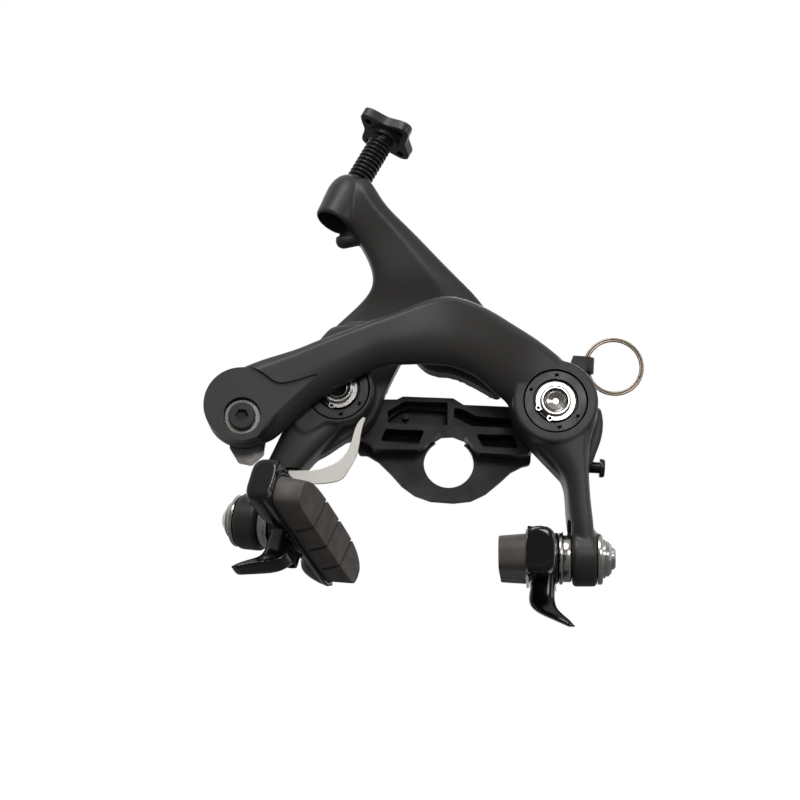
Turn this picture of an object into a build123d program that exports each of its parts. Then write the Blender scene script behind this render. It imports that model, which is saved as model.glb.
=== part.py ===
from build123d import *
from math import atan2, cos, degrees, pi, radians, sin, sqrt
import os

# Direct mount rim brake caliper, seen from the frame side.
# X runs to the right, Y away from the frame, Z up. The origin lies midway between
# the two pivot axes, on the plane where the pivot sleeves seat on the frame.

os.makedirs("parts", exist_ok=True)

# Driving dimensions, in millimetres and degrees
pivot_spacing = 56.0
bolt_diameter = 6.0
bolt_bore = 6.3
sleeve_diameter = 8.0
sleeve_flange_diameter = 13.0
sleeve_flange_thickness = 1.2
running_gap = 0.05
press_gap = 0.02
light_chamfer = 0.3
heavy_chamfer = 0.6
limb_corner = 2.4
upper_limb_corner = 2.2
web_corner = 0.9
plateau_corner = 1.6
loose_gap = 0.3

arm_face = 0.6
arm_back = 15.5
pivot_boss_radius = 11.0
thin_boss_wall = 1.0
boss_step = 8.2
bush_diameter = 10.0
cover_diameter = 16.0
cover_pocket_diameter = 16.7
cover_bore = 11.5
cover_thickness = 1.7
spring_pocket_depth = 8.4
spring_wire = 1.2
spring_mean_radius = 6.7
spring_turns = 2.5
spring_pitch = 1.65
cover_lip_bore = 10.6
cover_lip_thickness = 0.6
cover_window_circle = 6.9
cover_window_span = 30.0
cover_window_width = 1.6
cover_windows = [-25.0, -197.0]
cover_dot_radius = 0.35
cover_dots = [-90.0, -157.5, 32.0, 79.0]
circlip_diameter = 10.2
circlip_thickness = 0.9
circlip_front = 1.0
circlip_groove_depth = 0.4
circlip_gap_angle = 130.0
circlip_gap_span = 30.0
circlip_eye_radius = 0.75
circlip_eye_inset = 0.35
circlip_eye_offset = 10.0
thrust_washer_thickness = 0.65
bolt_tip = 0.2
bolt_dimple_radius = 2.3
bolt_dimple_depth = 0.9
bolt_head_radius = 5.0
bolt_head_height = 5.5
bolt_hex = 5.0
bolt_socket_depth = 3.2

arch_thickness = 8.0
arch_front = -8.4
anchor_boss_radius = 9.5
anchor_boss_depth = 10.4
anchor_plate_step = 1.0
anchor_recess_radius = 4.75
anchor_recess_depth = 2.4
anchor_thread = 5.0
anchor_head_radius = 3.45
anchor_head_height = 1.9
anchor_hex = 3.0
anchor_socket_depth = 1.6
anchor_washer_radius = 4.6
anchor_washer_thickness = 0.4
anchor_nut_width = 8.0
anchor_nut_height = 3.2
anchor_thread_end = 0.8
clamp_plate_thickness = 1.5
cable_diameter = 1.6

strut_width = 14.6
strut_thickness = 6.5
strut_end_radius = 7.3
facing_radius = 7.4
facing_reach = 6.0
slot_width = 6.4
slot_travel = 5.0

adjuster_tilt_side = 23.6
adjuster_tilt_back = 12.4
adjuster_thread_diameter = 6.7
adjuster_thread_pitch = 1.3
adjuster_thread_depth = 0.55
adjuster_barrel_length = 23.5
adjuster_boss_length = 14.0
adjuster_boss_top_radius = 4.3
adjuster_boss_low_radius = 5.0
adjuster_mouth_radius = 4.0
adjuster_mouth_depth = 6.5
knob_lobe_circle = 7.1
knob_lobe_radius = 2.3
knob_thickness = 3.0
knob_hub_radius = 4.4
knob_hub_height = 1.2
knob_scallop_radius = 4.2
knob_scallop_depth = 1.9
knob_dimple_diameter = 2.0
knob_dimple_depth = 1.2
knob_turn = 28.0
housing_diameter = 5.0
ferrule_diameter = 6.0
ferrule_height = 2.9
ferrule_floor = 0.9
hook_centre = Vector(-29.8, 11.0, 42.6)
hook_heading = Vector(1.0, 0.0, 0.28)
hook_radius = 2.2
hook_length = 6.0

pad_length = 48.0
pad_height = 10.5
pad_depth = 7.0
pad_face_length = 45.6
pad_face_height = 9.2
pad_groove = 0.9
pad_groove_depth = 1.3
pad_groove_spacing = 10.8
pad_groove_slant = 25.0
pad_groove_offset = 1.6
holder_length = 51.0
holder_height = 12.4
holder_floor = 1.2
holder_nose_length = 13.0
holder_nose_inset = 0.3
holder_nose_depth = 6.9
holder_corner = 3.0
holder_rib_length = 35.7
holder_rib_height = 5.0
holder_rib_depth = 2.6
hub_radius = 6.8
hub_depth = 7.7
pad_pocket_depth = 1.0
pad_bolt_diameter = 6.0
pad_bolt_bury = 5.2
pad_bolt_thread_end = 1.6
pad_washer_diameter = 13.6
ball_washer_diameter = 12.4
dish_washer_thickness = 1.0
ball_washer_thickness = 2.1
outer_washer_thickness = 1.3
nut_width = 9.0
nut_height = 3.4
stack_gap = 0.05
set_screw_diameter = 2.6
set_screw_length = 4.4
set_screw_hex = 1.5
set_screw_recess = 0.9
set_screw_counterbore = 0.9
set_screw_level = 8.0
set_screw_along = 6.0
set_screw_back = -4.6
set_screw_boss = (6.6, 5.2)

jig_front = 16.6
jig_depth = 9.0
jig_lobe_thickness = 2.5
jig_floor = 1.2
jig_hole_diameter = 13.2
jig_hole_centre = (1.6, -13.4)
jig_ring_wall = 2.6
jig_step_height = 3.6
jig_stud_centre = (-10.5, -1.6)
jig_stud_radius = 0.85
pull_ring_diameter = 16.6
pull_ring_wire = 1.1
pull_ring_centre = Vector(44.1, 22.0, 15.1)
pull_lug_height = 4.0
pull_lug_wall = 1.3

link_pin_diameter = 3.0
link_roller_diameter = 4.8
link_height = 13.0
link_slot_gap = 0.5

screw_diameter = 2.9
screw_head_diameter = 4.9
screw_head_height = 1.3
screw_reach = 7.6
screw_exposed = 2.2
screw_hex = 2.0
leaf_front = 2.0
leaf_thickness = 0.7

half_spacing = pivot_spacing / 2
sides = {"left": -half_spacing, "right": half_spacing}
face_plane = Plane(origin=(0, 0, 0), x_dir=(1, 0, 0), z_dir=(0, 1, 0))


def depth_plane(depth):
    """Front view plane at a depth. Its x is +X, its y is -Z and it faces +Y."""
    return face_plane.offset(depth)


def front(x, z):
    """Point of the front view in the axes of depth_plane."""
    return (x, -z)


def across(low, high, depth):
    """Plane across a limb: its x runs from the low to the high point, its y is +Y."""
    start = Vector(low[0], depth, low[1])
    end = Vector(high[0], depth, high[1])
    along = (end - start).normalized()
    return Plane(origin=(start + end) / 2, x_dir=along, z_dir=along.cross(Vector(0, 1, 0)))


def limb(stations, corner, last=None):
    """Loft of rounded sections. A station is low point, high point, front and back.
    The last section may be the pad clamp's, on its own plane."""
    sections = []
    for low, high, near, far in stations:
        width = sqrt((high[0] - low[0]) ** 2 + (high[1] - low[1]) ** 2)
        with BuildSketch(across(low, high, (near + far) / 2)) as section:
            RectangleRounded(width, far - near, corner)
        sections.append(section.sketch)
    if last:
        with BuildSketch(last) as section:
            RectangleRounded(strut_thickness, strut_width, corner)
        sections.append(section.sketch)
    loft(sections)


# Pad frames: the plane's x runs along the pad away from the viewer, its z faces the rim
pad_yaw = {"left": 19.0, "right": 2.8}
pad_roll = {"left": 5.0, "right": 3.0}
pad_pitch = {"left": 17.0, "right": -4.0}
pad_seat = {"left": Vector(-34.2, 5.8, -35.6), "right": Vector(23.4, 8.0, -39.8)}
rim_side = {"left": 1, "right": -1}


def pad_frame(side):
    """Plane on the back of a pad, at its bolt, with yaw, roll and pitch applied."""
    yaw = radians(pad_yaw[side])
    roll = radians(pad_roll[side])
    hand = rim_side[side]
    facing = Vector(hand * cos(yaw) * cos(roll), -hand * sin(yaw) * cos(roll), -sin(roll))
    level = Vector(sin(yaw), cos(yaw), 0)
    along = level.rotate(Axis((0, 0, 0), tuple(facing)), hand * -pad_pitch[side])
    return Plane(origin=pad_seat[side], x_dir=along, z_dir=facing)


pad_frames = {side: pad_frame(side) for side in sides}


def clamp_plane(side):
    """Plane through the middle of an arm's pad clamp, its x across the clamp."""
    frame = pad_frames[side]
    centre = frame.origin - frame.z_dir * (arm_end_start + strut_thickness / 2)
    hand = rim_side[side]
    return Plane(origin=centre, x_dir=frame.z_dir * hand, z_dir=frame.y_dir * hand)


# Stack along a pad bolt, measured back from the pad
inner_dish_start = hub_depth + stack_gap
inner_ball_start = inner_dish_start + dish_washer_thickness + stack_gap
arm_end_start = inner_ball_start + ball_washer_thickness + stack_gap
arm_end_back = arm_end_start + strut_thickness
outer_washer_start = arm_end_back + stack_gap
nut_start = outer_washer_start + outer_washer_thickness + stack_gap
pad_bolt_end = nut_start + nut_height + pad_bolt_thread_end

# Cable adjuster frame: origin at the mouth of the boss, z up along the barrel
adjuster_mouth = Vector(-32.7, 8.2, 46.5)
tilt_back = radians(adjuster_tilt_back)
tilt_side = radians(adjuster_tilt_side)
adjuster_axis = Vector(sin(tilt_side) * cos(tilt_back), sin(tilt_back), cos(tilt_side) * cos(tilt_back))
adjuster_plane = Plane(
    origin=adjuster_mouth, x_dir=Vector(cos(tilt_side), 0, -sin(tilt_side)), z_dir=adjuster_axis
)
knob_base = 30.0
barrel_top = knob_base + 0.3
barrel_start = barrel_top - adjuster_barrel_length
ferrule_start = barrel_top + stack_gap
hook_plane = Plane(origin=hook_centre, x_dir=(0, 1, 0), z_dir=hook_heading)

# Anchor of the cable on the front arm
anchor_centre = (-51.7, -7.4)
anchor_bolt_centre = (-51.2, -10.4)
anchor_face = arch_front + anchor_plate_step
anchor_back = anchor_face + anchor_boss_depth
anchor_washer_front = anchor_face + anchor_recess_depth - stack_gap - anchor_washer_thickness
anchor_head_back = anchor_washer_front - stack_gap
clamp_plate_front = anchor_back + stack_gap
anchor_nut_front = clamp_plate_front + clamp_plate_thickness + stack_gap
clamp_plate_outline = [
    (-56.2, -6.4),
    (-48.0, -4.6),
    (-45.2, -10.4),
    (-45.8, -18.0),
    (-48.7, -21.0),
    (-52.2, -20.5),
    (-54.6, -17.0),
]

# Pivot stack at the back of the arms
sleeve_flange_start = arm_back + thrust_washer_thickness + 2 * stack_gap
bolt_head_start = sleeve_flange_start + sleeve_flange_thickness + stack_gap
cover_front = 0.9
bush_front = 2.2
spring_front = 3.9

# Centring screw in the right edge of the front arm
screw_plane = Plane(origin=(38.3, 9.0, -15.1), x_dir=(0, 1, 0), z_dir=(1, 0, 0))

# Travel of the arms from open, as drawn, to pads closed
arm_travel = 14.0


def swung(point, pivot_x, angle):
    """Point of the front view turned clockwise about a pivot by an angle in degrees."""
    turn = radians(angle)
    x = point[0] - pivot_x
    z = point[1]
    return (pivot_x + x * cos(turn) + z * sin(turn), z * cos(turn) - x * sin(turn))


# The link pin rides in a slot of the rear arm, from the open place to the closed one
link_open = (0.0, link_height)
link_closed = swung(swung(link_open, half_spacing, arm_travel), -half_spacing, arm_travel)
link_run = (link_closed[0] - link_open[0], link_closed[1] - link_open[1])
link_pin_start = -2.4
link_front = 8.3
link_roller_width = 5.6
link_pin_head_radius = 2.3
link_pin_head_height = 0.8

# Stations of the front arm from the cable end over the tyre to the pivot, then down to the pad
strut_front = arm_face + 0.2
strut_back = arm_back - 0.1
arch_back = arch_front + arch_thickness
arch_stations = [
    ((-43.0, -14.7), (-47.6, 4.3), arch_front, arch_back),
    ((-38.6, -10.0), (-42.8, 6.2), arch_front, arch_back),
    ((-34.8, -5.9), (-37.9, 8.2), arch_front, arch_back),
    ((-30.4, -2.3), (-33.9, 10.2), arch_front, arch_back),
    ((-24.4, 1.6), (-27.7, 13.0), arch_front, arch_back),
    ((-17.9, 5.3), (-21.4, 15.9), arch_front, arch_back),
    ((-11.4, 6.6), (-13.6, 19.4), arch_front, arch_back),
    ((-2.3, 7.4), (-4.4, 23.7), arch_front + 0.8, arch_back + 1.0),
    ((3.4, 6.9), (2.2, 24.3), arch_front + 2.0, arch_back + 3.0),
    ((7.9, 5.2), (9.8, 22.2), arch_front + 4.0, arch_back + 5.0),
    ((11.5, 2.9), (16.4, 19.2), arch_front + 6.4, arch_back + 7.0),
    ((15.6, 0.4), (23.4, 15.6), arm_face - 0.2, arch_back + 9.6),
    ((16.6, -1.4), (31.0, 9.9), arm_face, arm_back - 3.5),
    ((17.2, -2.9), (36.6, 3.6), strut_front, arm_back - 1.4),
]
strut_stations = [
    ((17.6, -2.6), (38.6, -0.8), strut_front, strut_back),
    ((22.8, -9.4), (37.6, -6.6), strut_front, strut_back),
    ((28.6, -15.4), (37.1, -12.3), strut_front, strut_back),
    ((31.6, -20.2), (37.6, -19.2), strut_front, strut_back),
    ((32.5, -26.5), (38.3, -25.2), strut_front, strut_back),
    ((33.2, -32.0), (39.4, -30.6), strut_front, strut_back),
]
rear_web_front = 7.5
rear_web_outline = [
    (17.6, -1.0),
    (18.4, -4.1),
    (21.4, -9.2),
    (25.8, -13.6),
    (29.2, -16.8),
    (31.9, -19.4),
    (34.6, -24.0),
    (37.0, -20.0),
    (39.2, -12.1),
    (40.8, -7.3),
    (41.0, -2.5),
    (39.6, 2.0),
]

# Stations of the rear arm: from the adjuster boss down, then out to the left pad
rear_back = 14.2
upper_stations = [
    ((-30.2, 49.2), (-23.6, 56.4), 5.4, rear_back),
    ((-27.7, 46.2), (-19.3, 52.3), 5.0, rear_back),
    ((-24.7, 40.8), (-12.8, 46.3), 5.0, rear_back),
    ((-21.9, 35.5), (-6.1, 40.0), 5.2, rear_back),
    ((-21.2, 30.3), (0.6, 33.8), 5.8, rear_back),
    ((-23.7, 25.8), (6.7, 28.2), 7.0, rear_back),
    ((-29.1, 20.0), (12.0, 20.4), 8.0, rear_back),
]
rear_strut_stations = [
    ((-40.4, -8.5), (-29.5, -13.5), strut_front, strut_back - 0.2),
    ((-43.8, -17.4), (-35.2, -20.4), strut_front + 0.1, strut_back),
    ((-46.2, -23.0), (-38.8, -25.6), strut_front + 0.5, strut_back + 0.5),
    ((-48.0, -27.6), (-41.2, -29.6), strut_front + 1.4, strut_back + 1.4),
]
web_front = 8.0
web_outline = [
    (-29.1, 20.0),
    (12.0, 20.4),
    (14.0, 14.0),
    (14.6, 6.0),
    (14.2, 1.5),
    (8.9, 4.2),
    (2.2, 7.5),
    (-5.2, 7.6),
    (-9.2, 11.5),
    (-10.6, 13.2),
    (-12.0, 11.2),
    (-13.8, 7.1),
    (-16.5, 0.4),
    (-19.0, -5.4),
    (-21.9, -9.3),
    (-26.6, -12.6),
    (-30.6, -15.9),
    (-36.0, -18.5),
    (-40.0, -10.0),
    (-39.0, -2.0),
    (-38.0, 6.0),
    (-34.0, 15.0),
]
plateau_outline = [
    (-17.9, 6.4),
    (-22.0, -3.0),
    (-26.9, -7.2),
    (-32.3, -10.4),
    (-36.0, -12.9),
    (-39.5, -9.5),
    (-39.0, -2.0),
    (-37.5, 6.0),
    (-30.0, 10.2),
]

leaf_inner = [
    (-21.0, -6.8),
    (-22.9, -10.2),
    (-23.6, -13.5),
    (-24.8, -16.8),
    (-28.5, -20.0),
    (-34.0, -21.7),
    (-39.0, -21.9),
]
leaf_seat = [(-39.8, -21.4), (-31.0, -20.9), (-31.0, -26.0), (-40.0, -25.5)]
leaf_outer = [
    (-20.3, -7.2),
    (-21.3, -12.0),
    (-22.0, -17.2),
    (-23.7, -20.9),
    (-25.1, -23.2),
    (-28.4, -24.6),
    (-32.2, -25.1),
    (-39.2, -24.8),
]


def pivot_bores(x, start):
    """Cuts the bush bore and the spring pocket of a pivot at x, from a depth in front."""
    with BuildSketch(depth_plane(start)) as bore:
        with Locations(front(x, 0)):
            Circle(bush_diameter / 2 + press_gap)
    extrude(bore.sketch, amount=arm_back - start + 1, mode=Mode.SUBTRACT)
    with BuildSketch(depth_plane(start)) as pocket:
        with Locations(front(x, 0)):
            Circle(cover_pocket_diameter / 2)
    extrude(pocket.sketch, amount=arm_face + spring_pocket_depth - start, mode=Mode.SUBTRACT)
    with BuildSketch(depth_plane(arm_back)) as facing:
        with Locations(front(x, 0)):
            Circle(pivot_boss_radius)
    extrude(facing.sketch, amount=facing_reach, mode=Mode.SUBTRACT)


def pivot_boss(x, front_radius):
    """Adds the round boss of an arm at its pivot, with a radius of its own in front."""
    for near, radius in ((arm_face, front_radius), (boss_step, pivot_boss_radius)):
        with BuildSketch(depth_plane(near)) as boss:
            with Locations(front(x, 0)):
                Circle(radius)
        extrude(boss.sketch, amount=arm_back - near)


def plate(outline, near, far, corner):
    """Adds a plate of a front view outline between two depths."""
    with BuildSketch(depth_plane(near)) as face:
        with BuildLine():
            Polyline(*[front(*point) for point in outline], close=True)
        make_face()
        fillet(face.vertices(), corner)
    extrude(face.sketch, amount=far - near)


def arm_end(side):
    """Adds the round pad clamp of an arm and faces it flat for the washers."""
    with BuildSketch(pad_frames[side].offset(-arm_end_start)) as clamp:
        Circle(strut_end_radius)
    extrude(clamp.sketch, amount=-strut_thickness)
    for start, reach in ((arm_end_start, facing_reach), (arm_end_back, -facing_reach)):
        with BuildSketch(pad_frames[side].offset(-start)) as facing:
            SlotCenterToCenter(slot_travel, 2 * facing_radius, rotation=90)
        extrude(facing.sketch, amount=reach, mode=Mode.SUBTRACT)


def arm_slot(side):
    """Cuts the slot in which the pad bolt slides up and down."""
    with BuildSketch(pad_frames[side].offset(-arm_end_start + 4)) as slot:
        SlotCenterToCenter(slot_travel, slot_width, rotation=90)
    extrude(slot.sketch, amount=-strut_thickness - 8, mode=Mode.SUBTRACT)


def finish(name, part):
    """Labels a finished piece and writes it."""
    part.label = name
    export_step(part, f"parts/{name}.step")


def leaf_face(depth):
    """Front view of the return leaf: a flat strip with a bend, narrow at its top."""
    with BuildSketch(depth_plane(depth)) as face:
        with BuildLine():
            inner = Spline([front(*point) for point in leaf_inner])
            outer = Spline([front(*point) for point in leaf_outer])
            Line(inner @ 0, outer @ 0)
            Line(inner @ 1, outer @ 1)
        make_face()
    return face.sketch


# Front arm: cable end, arch over the tyre, pivot, strut and pad clamp
with BuildPart() as front_arm:
    limb(arch_stations, limb_corner)
    with BuildSketch(depth_plane(anchor_face)):
        with Locations(front(*anchor_centre)):
            Circle(anchor_boss_radius)
    extrude(amount=anchor_boss_depth)
    pivot_boss(half_spacing, pivot_boss_radius)
    limb(strut_stations, limb_corner, clamp_plane("right"))
    plate(rear_web_outline, rear_web_front, strut_back, web_corner)
    arm_end("right")
    arm_slot("right")
    pivot_bores(half_spacing, arch_front)
    with BuildSketch(depth_plane(anchor_face)):
        with Locations(front(*anchor_bolt_centre)):
            Circle(anchor_recess_radius)
    extrude(amount=anchor_recess_depth, mode=Mode.SUBTRACT)
    with BuildSketch(depth_plane(anchor_face)):
        with Locations(front(*anchor_bolt_centre)):
            Circle(anchor_thread / 2 + running_gap)
    extrude(amount=anchor_boss_depth + 1, mode=Mode.SUBTRACT)
    with BuildSketch(depth_plane(link_pin_start)):
        with Locations(front(*link_open)):
            Circle(link_pin_diameter / 2 + press_gap)
    extrude(amount=link_front - link_pin_start, mode=Mode.SUBTRACT)
    with BuildSketch(screw_plane.offset(-screw_reach)):
        Circle(screw_diameter / 2 + running_gap)
    extrude(amount=2 * screw_reach, mode=Mode.SUBTRACT)
finish("front_arm", front_arm.part)

# Rear arm: adjuster boss, upper limb, web with the link slot, pivot and strut
with BuildPart() as rear_arm:
    limb(upper_stations, upper_limb_corner)
    plate(web_outline, web_front, rear_back, web_corner)
    pivot_boss(-half_spacing, cover_pocket_diameter / 2 + thin_boss_wall)
    plate(plateau_outline, arm_face, web_front + 1, plateau_corner)
    limb(rear_strut_stations, limb_corner, clamp_plane("left"))
    arm_end("left")
    with BuildSketch(adjuster_plane):
        Circle(adjuster_boss_low_radius)
    with BuildSketch(adjuster_plane.offset(adjuster_boss_length)):
        Circle(adjuster_boss_top_radius)
    loft()
    with BuildSketch(hook_plane):
        Circle(hook_radius)
    extrude(amount=hook_length)
    with Locations(hook_plane.origin):
        Sphere(hook_radius)
    with BuildSketch(adjuster_plane.offset(-1)):
        Circle(adjuster_mouth_radius)
    extrude(amount=adjuster_mouth_depth + 1, mode=Mode.SUBTRACT)
    with BuildSketch(adjuster_plane):
        Circle(adjuster_thread_diameter / 2 + running_gap)
    extrude(amount=adjuster_boss_length + 8, mode=Mode.SUBTRACT)
    arm_slot("left")
    pivot_bores(-half_spacing, 0)
    with BuildSketch(depth_plane(web_front - 1)):
        with Locations(front((link_open[0] + link_closed[0]) / 2, (link_open[1] + link_closed[1]) / 2)):
            SlotCenterToCenter(
                sqrt(link_run[0] ** 2 + link_run[1] ** 2) + 1.0,
                link_roller_diameter + 2 * link_slot_gap,
                rotation=degrees(atan2(-link_run[1], link_run[0])),
            )
    extrude(amount=rear_back - web_front + 2, mode=Mode.SUBTRACT)
    with BuildSketch(depth_plane(arm_face)):
        with BuildLine():
            Polyline(*[front(*point) for point in leaf_seat], close=True)
        make_face()
    extrude(amount=leaf_front - arm_face + leaf_thickness + running_gap, mode=Mode.SUBTRACT)
finish("rear_arm", rear_arm.part)


def ring(plane, outer, inner, thickness, mode=Mode.ADD):
    """Adds a flat ring of two radii, from a plane along its normal."""
    with BuildSketch(plane) as section:
        Circle(outer)
        if inner:
            Circle(inner, mode=Mode.SUBTRACT)
    extrude(section.sketch, amount=thickness, mode=mode)


def helix_path(plane, radius, pitch, turns, start_angle, straight):
    """Helix about the z of a plane, as two arcs for each quarter turn, with straight ends."""

    def place(angle):
        local = Vector(radius * cos(angle), radius * sin(angle), pitch * angle / (2 * pi))
        return plane.from_local_coords(local)

    def heading(angle):
        local = Vector(-radius * sin(angle), radius * cos(angle), pitch / (2 * pi))
        return (plane.from_local_coords(local) - plane.origin).normalized()

    steps = round(turns * 4)
    with BuildLine(Plane.XY) as path:
        for step in range(steps):
            first = start_angle + step * pi / 2
            second = first + pi / 2
            begin, end = place(first), place(second)
            begin_way, end_way = heading(first), heading(second)
            span = end - begin
            ways = begin_way + end_way
            bend = 2 * (1 - begin_way.dot(end_way))
            reach = (sqrt(span.dot(ways) ** 2 + bend * span.dot(span)) - span.dot(ways)) / bend
            middle = (begin + begin_way * reach + end - end_way * reach) / 2
            middle_way = (end - end_way * reach - begin - begin_way * reach).normalized()
            TangentArc(begin, middle, tangent=begin_way)
            TangentArc(middle, end, tangent=middle_way)
        first = path.line @ 0
        Line(first - (path.line % 0) * straight, first)
        last = path.line @ 1
        Line(last, last + (path.line % 1) * straight)
    return Wire(path.edges())


def circlip_eyes():
    """Places of the two eyes beside the circlip's gap."""
    return PolarLocations(circlip_eye_circle, 2, circlip_first_eye, 2 * circlip_eye_angle, endpoint=True)


def least_gap(path, turns, wire):
    """Least gap of a wound wire to itself, measured on points of its path."""
    count = round(turns * 48)
    points = [path @ (step / count) for step in range(count + 1)]
    gaps = []
    for first in range(count + 1):
        for second in range(first + 30, count + 1):
            gaps.append((points[second] - points[first]).length)
    return min(gaps) - wire


def wound(plane, radius, pitch, turns, wire, start_angle):
    """Adds a wound wire: one round tube swept along a helix with straight ends."""
    path = helix_path(plane, radius, pitch, turns, start_angle, wire)
    print(f"wound wire, least gap to itself {least_gap(path, turns, wire):.2f} mm")
    with BuildSketch(Plane(origin=path @ 0, z_dir=path % 0)) as section:
        Circle(wire / 2)
    sweep(section.sketch, path=path)


# Circlip eyes stand on both sides of its gap
circlip_eye_circle = circlip_diameter / 2 - circlip_eye_inset
circlip_eye_angle = circlip_gap_span / 2 + circlip_eye_offset
circlip_first_eye = circlip_gap_angle - circlip_eye_angle


def gap_corner(hand):
    """Outer corner of the circlip's gap, on either side of it."""
    angle = radians(circlip_gap_angle + hand * circlip_gap_span / 2)
    return (circlip_diameter * cos(angle), circlip_diameter * sin(angle))


def pivot_set(side):
    """Sleeve, bolt, thrust washer, circlip, bush, spring cover and spring of a pivot."""
    x = sides[side]

    def at(depth):
        return Plane(origin=(x, depth, 0), x_dir=(1, 0, 0), z_dir=(0, 1, 0))

    with BuildPart() as sleeve:
        ring(at(0), sleeve_diameter / 2, 0, sleeve_flange_start)
        ring(at(sleeve_flange_start), sleeve_flange_diameter / 2, 0, sleeve_flange_thickness)
        chamfer(sleeve.faces().sort_by(Axis.Y)[0].edges(), light_chamfer)
        ring(at(-1), bolt_bore / 2, 0, sleeve_flange_start + 4, Mode.SUBTRACT)
        ring(
            at(circlip_front - running_gap),
            sleeve_diameter / 2 + 1,
            sleeve_diameter / 2 - circlip_groove_depth,
            circlip_thickness + 2 * running_gap,
            Mode.SUBTRACT,
        )
    finish(f"{side}_pivot_sleeve", sleeve.part)

    with BuildPart() as bolt:
        ring(at(bolt_tip), bolt_diameter / 2, 0, bolt_head_start - bolt_tip)
        ring(at(bolt_head_start), bolt_head_radius, 0, bolt_head_height)
        chamfer(bolt.faces().sort_by(Axis.Y)[-1].edges(), heavy_chamfer)
        chamfer(bolt.faces().sort_by(Axis.Y)[0].edges(), heavy_chamfer)
        with BuildSketch(at(bolt_head_start + bolt_head_height - bolt_socket_depth)) as socket:
            RegularPolygon(bolt_hex / 2, 6, major_radius=False)
        extrude(socket.sketch, amount=bolt_socket_depth + 1, mode=Mode.SUBTRACT)
        with BuildSketch(at(bolt_tip)) as dimple:
            Circle(bolt_dimple_radius)
        extrude(dimple.sketch, amount=bolt_dimple_depth, taper=60, mode=Mode.SUBTRACT)
    finish(f"{side}_mount_bolt", bolt.part)

    with BuildPart() as washer:
        ring(
            at(arm_back + stack_gap),
            sleeve_flange_diameter / 2,
            sleeve_diameter / 2 + running_gap,
            thrust_washer_thickness,
        )
    finish(f"{side}_thrust_washer", washer.part)

    with BuildPart() as circlip:
        with BuildSketch(at(circlip_front)) as clip:
            Circle(circlip_diameter / 2)
            with circlip_eyes():
                Circle(circlip_eye_radius)
            Circle(sleeve_diameter / 2 - circlip_groove_depth + running_gap, mode=Mode.SUBTRACT)
            with BuildLine():
                Line((0, 0), gap_corner(-1))
                Line(gap_corner(-1), gap_corner(1))
                Line(gap_corner(1), (0, 0))
            make_face(mode=Mode.SUBTRACT)
            with circlip_eyes():
                Circle(circlip_eye_radius / 2, mode=Mode.SUBTRACT)
        extrude(clip.sketch, amount=circlip_thickness)
    finish(f"{side}_circlip", circlip.part)

    with BuildPart() as bush:
        ring(at(bush_front), bush_diameter / 2, sleeve_diameter / 2 + running_gap, arm_back - bush_front)
    finish(f"{side}_pivot_bush", bush.part)

    with BuildPart() as cover:
        ring(at(cover_front), cover_diameter / 2, cover_bore / 2, cover_thickness)
        ring(
            at(cover_front + cover_thickness - cover_lip_thickness),
            cover_diameter / 2,
            cover_lip_bore / 2,
            cover_lip_thickness,
        )
        with BuildSketch(at(cover_front)) as windows:
            for angle in cover_windows:
                start = angle - cover_window_span / 2
                SlotArc(CenterArc((0, 0), cover_window_circle, start, cover_window_span), cover_window_width)
            for angle in cover_dots:
                with PolarLocations(cover_window_circle, 1, angle):
                    Circle(cover_dot_radius)
        extrude(windows.sketch, amount=cover_thickness + 1, mode=Mode.SUBTRACT)
    finish(f"{side}_spring_cover", cover.part)

    with BuildPart() as spring:
        wound(at(spring_front), spring_mean_radius, spring_pitch, spring_turns, spring_wire, 0)
    finish(f"{side}_torsion_spring", spring.part)


for side in sides:
    pivot_set(side)


def anchor_at(depth):
    """Plane on the axis of the cable's clamp bolt at a depth."""
    return Plane(
        origin=(anchor_bolt_centre[0], depth, anchor_bolt_centre[1]), x_dir=(1, 0, 0), z_dir=(0, 1, 0)
    )


# Cable clamp: bolt, washer, clamp plate and nut
with BuildPart() as anchor_bolt:
    ring(anchor_at(anchor_head_back - anchor_head_height), anchor_head_radius, 0, anchor_head_height)
    fillet(anchor_bolt.faces().sort_by(Axis.Y)[0].edges(), light_chamfer)
    ring(
        anchor_at(anchor_head_back),
        anchor_thread / 2,
        0,
        anchor_nut_front + anchor_nut_height + anchor_thread_end - anchor_head_back,
    )
    chamfer(anchor_bolt.faces().sort_by(Axis.Y)[-1].edges(), light_chamfer)
    with BuildSketch(anchor_at(anchor_head_back - anchor_head_height)):
        RegularPolygon(anchor_hex / 2, 6, major_radius=False)
    extrude(amount=anchor_socket_depth, mode=Mode.SUBTRACT)
finish("anchor_bolt", anchor_bolt.part)

with BuildPart() as anchor_washer:
    ring(
        anchor_at(anchor_washer_front),
        anchor_washer_radius,
        anchor_thread / 2 + running_gap,
        anchor_washer_thickness,
    )
finish("anchor_washer", anchor_washer.part)

with BuildPart() as clamp_plate:
    plate(clamp_plate_outline, clamp_plate_front, clamp_plate_front + clamp_plate_thickness, 1.0)
    ring(
        anchor_at(clamp_plate_front - 1),
        anchor_thread / 2 + running_gap,
        0,
        clamp_plate_thickness + 2,
        Mode.SUBTRACT,
    )
finish("clamp_plate", clamp_plate.part)

with BuildPart() as anchor_nut:
    with BuildSketch(anchor_at(anchor_nut_front)):
        RegularPolygon(anchor_nut_width / 2, 6, major_radius=False)
        Circle(anchor_thread / 2 + running_gap, mode=Mode.SUBTRACT)
    extrude(amount=anchor_nut_height)
finish("anchor_nut", anchor_nut.part)

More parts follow.
